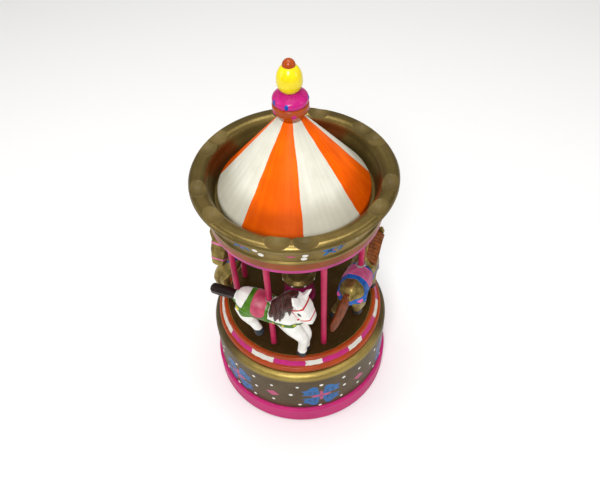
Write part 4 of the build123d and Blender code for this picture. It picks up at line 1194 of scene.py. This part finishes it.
herd = {
    # horse: (angle round the platform, coat)
    "front": (-22.5, "white"), "right": (67.5, "gold"), "back": (157.5, "white"), "left": (-112.5, "gold"),
}
poleCircle, hoofDrop = 34.0, 38.9   # the poles' circle, and how far the hooves hang below the back's level
glueSize = {"front": 0.55, "right": 1.25, "back": 0.7, "left": 0.9}
legPose = {
    # horse: (forelegs aside, near hind leg aside, far hind leg aside, far hind leg back, hind legs down) in mm
    "right": (0.0, 2.0, 4.9, 0.0, -4.0), "left": (-3.0, 0.0, 1.0, -5.0, 3.0),
}


def posedLegs(p, pose):
    # the legs below the belly swing aside, back or down, more the lower they reach
    fore, near, far, back, drop = pose
    x, y, z = p.T
    low = smoothStep(-17.0, -25.0, z)
    hind, farSide = x < 2, y > 0.3
    aside = np.where(hind, np.where(farSide, far, near), fore)
    return p + low[:, None] * np.stack([hind * farSide * back, aside, hind * drop], -1)


def glueRing(rough, size):
    # a squeezed bead of glue round the pole: a ring whose tube swells and shrinks
    around, tubeSteps = 72, 20
    u, v = np.meshgrid(*(np.linspace(0, 2 * np.pi, steps, endpoint=False) for steps in (around, tubeSteps)),
                       indexing="ij")
    tube = size * (0.42 + 0.10 * np.sin(3 * u + rough) + 0.08 * np.sin(7 * u - rough))
    ring = 1.5 + 0.3 * size + 0.22 * size * np.sin(2 * u + rough)
    x = (ring + tube * np.cos(v)) * np.cos(u)
    y = (ring + tube * np.cos(v)) * np.sin(u)
    z = tube * np.sin(v) + 0.25 * np.sin(2 * u + 1.0 + rough)
    return np.stack([x, y, z], -1).reshape(-1, 3), gridFaces(around, tubeSteps, wrapRows=True)


def makeHorses():
    blank = carveHorse(horseShape)
    dressed, fields = dressHorse(blank, harness)
    print("horse carved:", len(dressed), "points")
    coats = {"white": horsePaint("whiteCoat", horseColors["white"]),
             "gold": horsePaint("bronzeCoat", horseColors["gold"], 0.9)}
    manes = {"white": carveLockMane(maneShape), "gold": carvePanelMane(maneShape)}
    tails = {kind: carve("tailBlank", [whittled(rows, sides=8, facet=0.35, around=40, grooves=(7, 0.05))], 0.26, 1)
             for kind, rows in tailShape.items()}
    hair = {(kind, part): hairPaint(kind + part.capitalize() + "Brown", *hairColors[kind][part])
            for kind in hairColors for part in hairColors[kind]}
    glue = plainPaint("driedGlue", "#9C9A96", "#6E6C68", roughness=0.35, coat=0.4, patch=1.5, peel=0.25, dust=0.0)
    for number, (name, (turn, kind)) in enumerate(herd.items()):
        level = lowHigh(f"horse_{name}_body")[0][2] + hoofDrop
        body = "horse_" + name
        stance = posedLegs(dressed, legPose.get(name, (0, 0, 0, 0, 0)))
        finishPiece(name + "Horse", placedMesh(name + "Horse", blank, stance, turn, level, fields), coats[kind], body,
                    (f"horse_{name}_body",), 50)
        for part, skin, stands in (("Mane", manes[kind], ()), ("Tail", tails[kind], (f"horse_{name}_tail",))):
            p = meshArrays(skin)[0]
            mesh = placedMesh(name + part, skin, p, turn, level)
            setStrand(mesh, p, 0.96 if (kind, part) == ("gold", "Mane") else 0)
            finishPiece(name + "Horse" + part, mesh, hair[kind, part.lower()], body, stands, 50)
        points, faces = glueRing(number * 1.3, glueSize[name])
        a = math.radians(turn)
        points = points + (poleCircle * math.sin(a), -poleCircle * math.cos(a), level - 1.6)
        makePiece(name + "PoleGlue", points, faces, glue, body, kind + "_horse_paint")
    print("horses dressed:", len(herd))


def makeFloor():
    mesh = bpy.data.meshes.new("paleFloor")
    corners = [(x * floorSide, y * floorSide, 0) for x, y in ((-1, -1), (1, -1), (1, 1), (-1, 1))]
    mesh.from_pydata(corners, [], [(0, 1, 2, 3)])
    floor = bpy.data.objects.new("paleFloor", mesh)
    bpy.context.scene.collection.objects.link(floor)
    material, _, shader = newMaterial("palePaper", roughness=0.9)
    shader.inputs["Base Color"].default_value = floorColor
    mesh.materials.append(material)


makeCamera(cameraSetup)
makeLights(lightSetup)
makeFloor()
print("studio set up")
finishWorkshopParts()
paintDrum(drumPattern)
paintFrieze(friezePattern)
paintDashes(dashPattern)
paintDotRings(dotRings)
print("marks painted")
makeHorses()
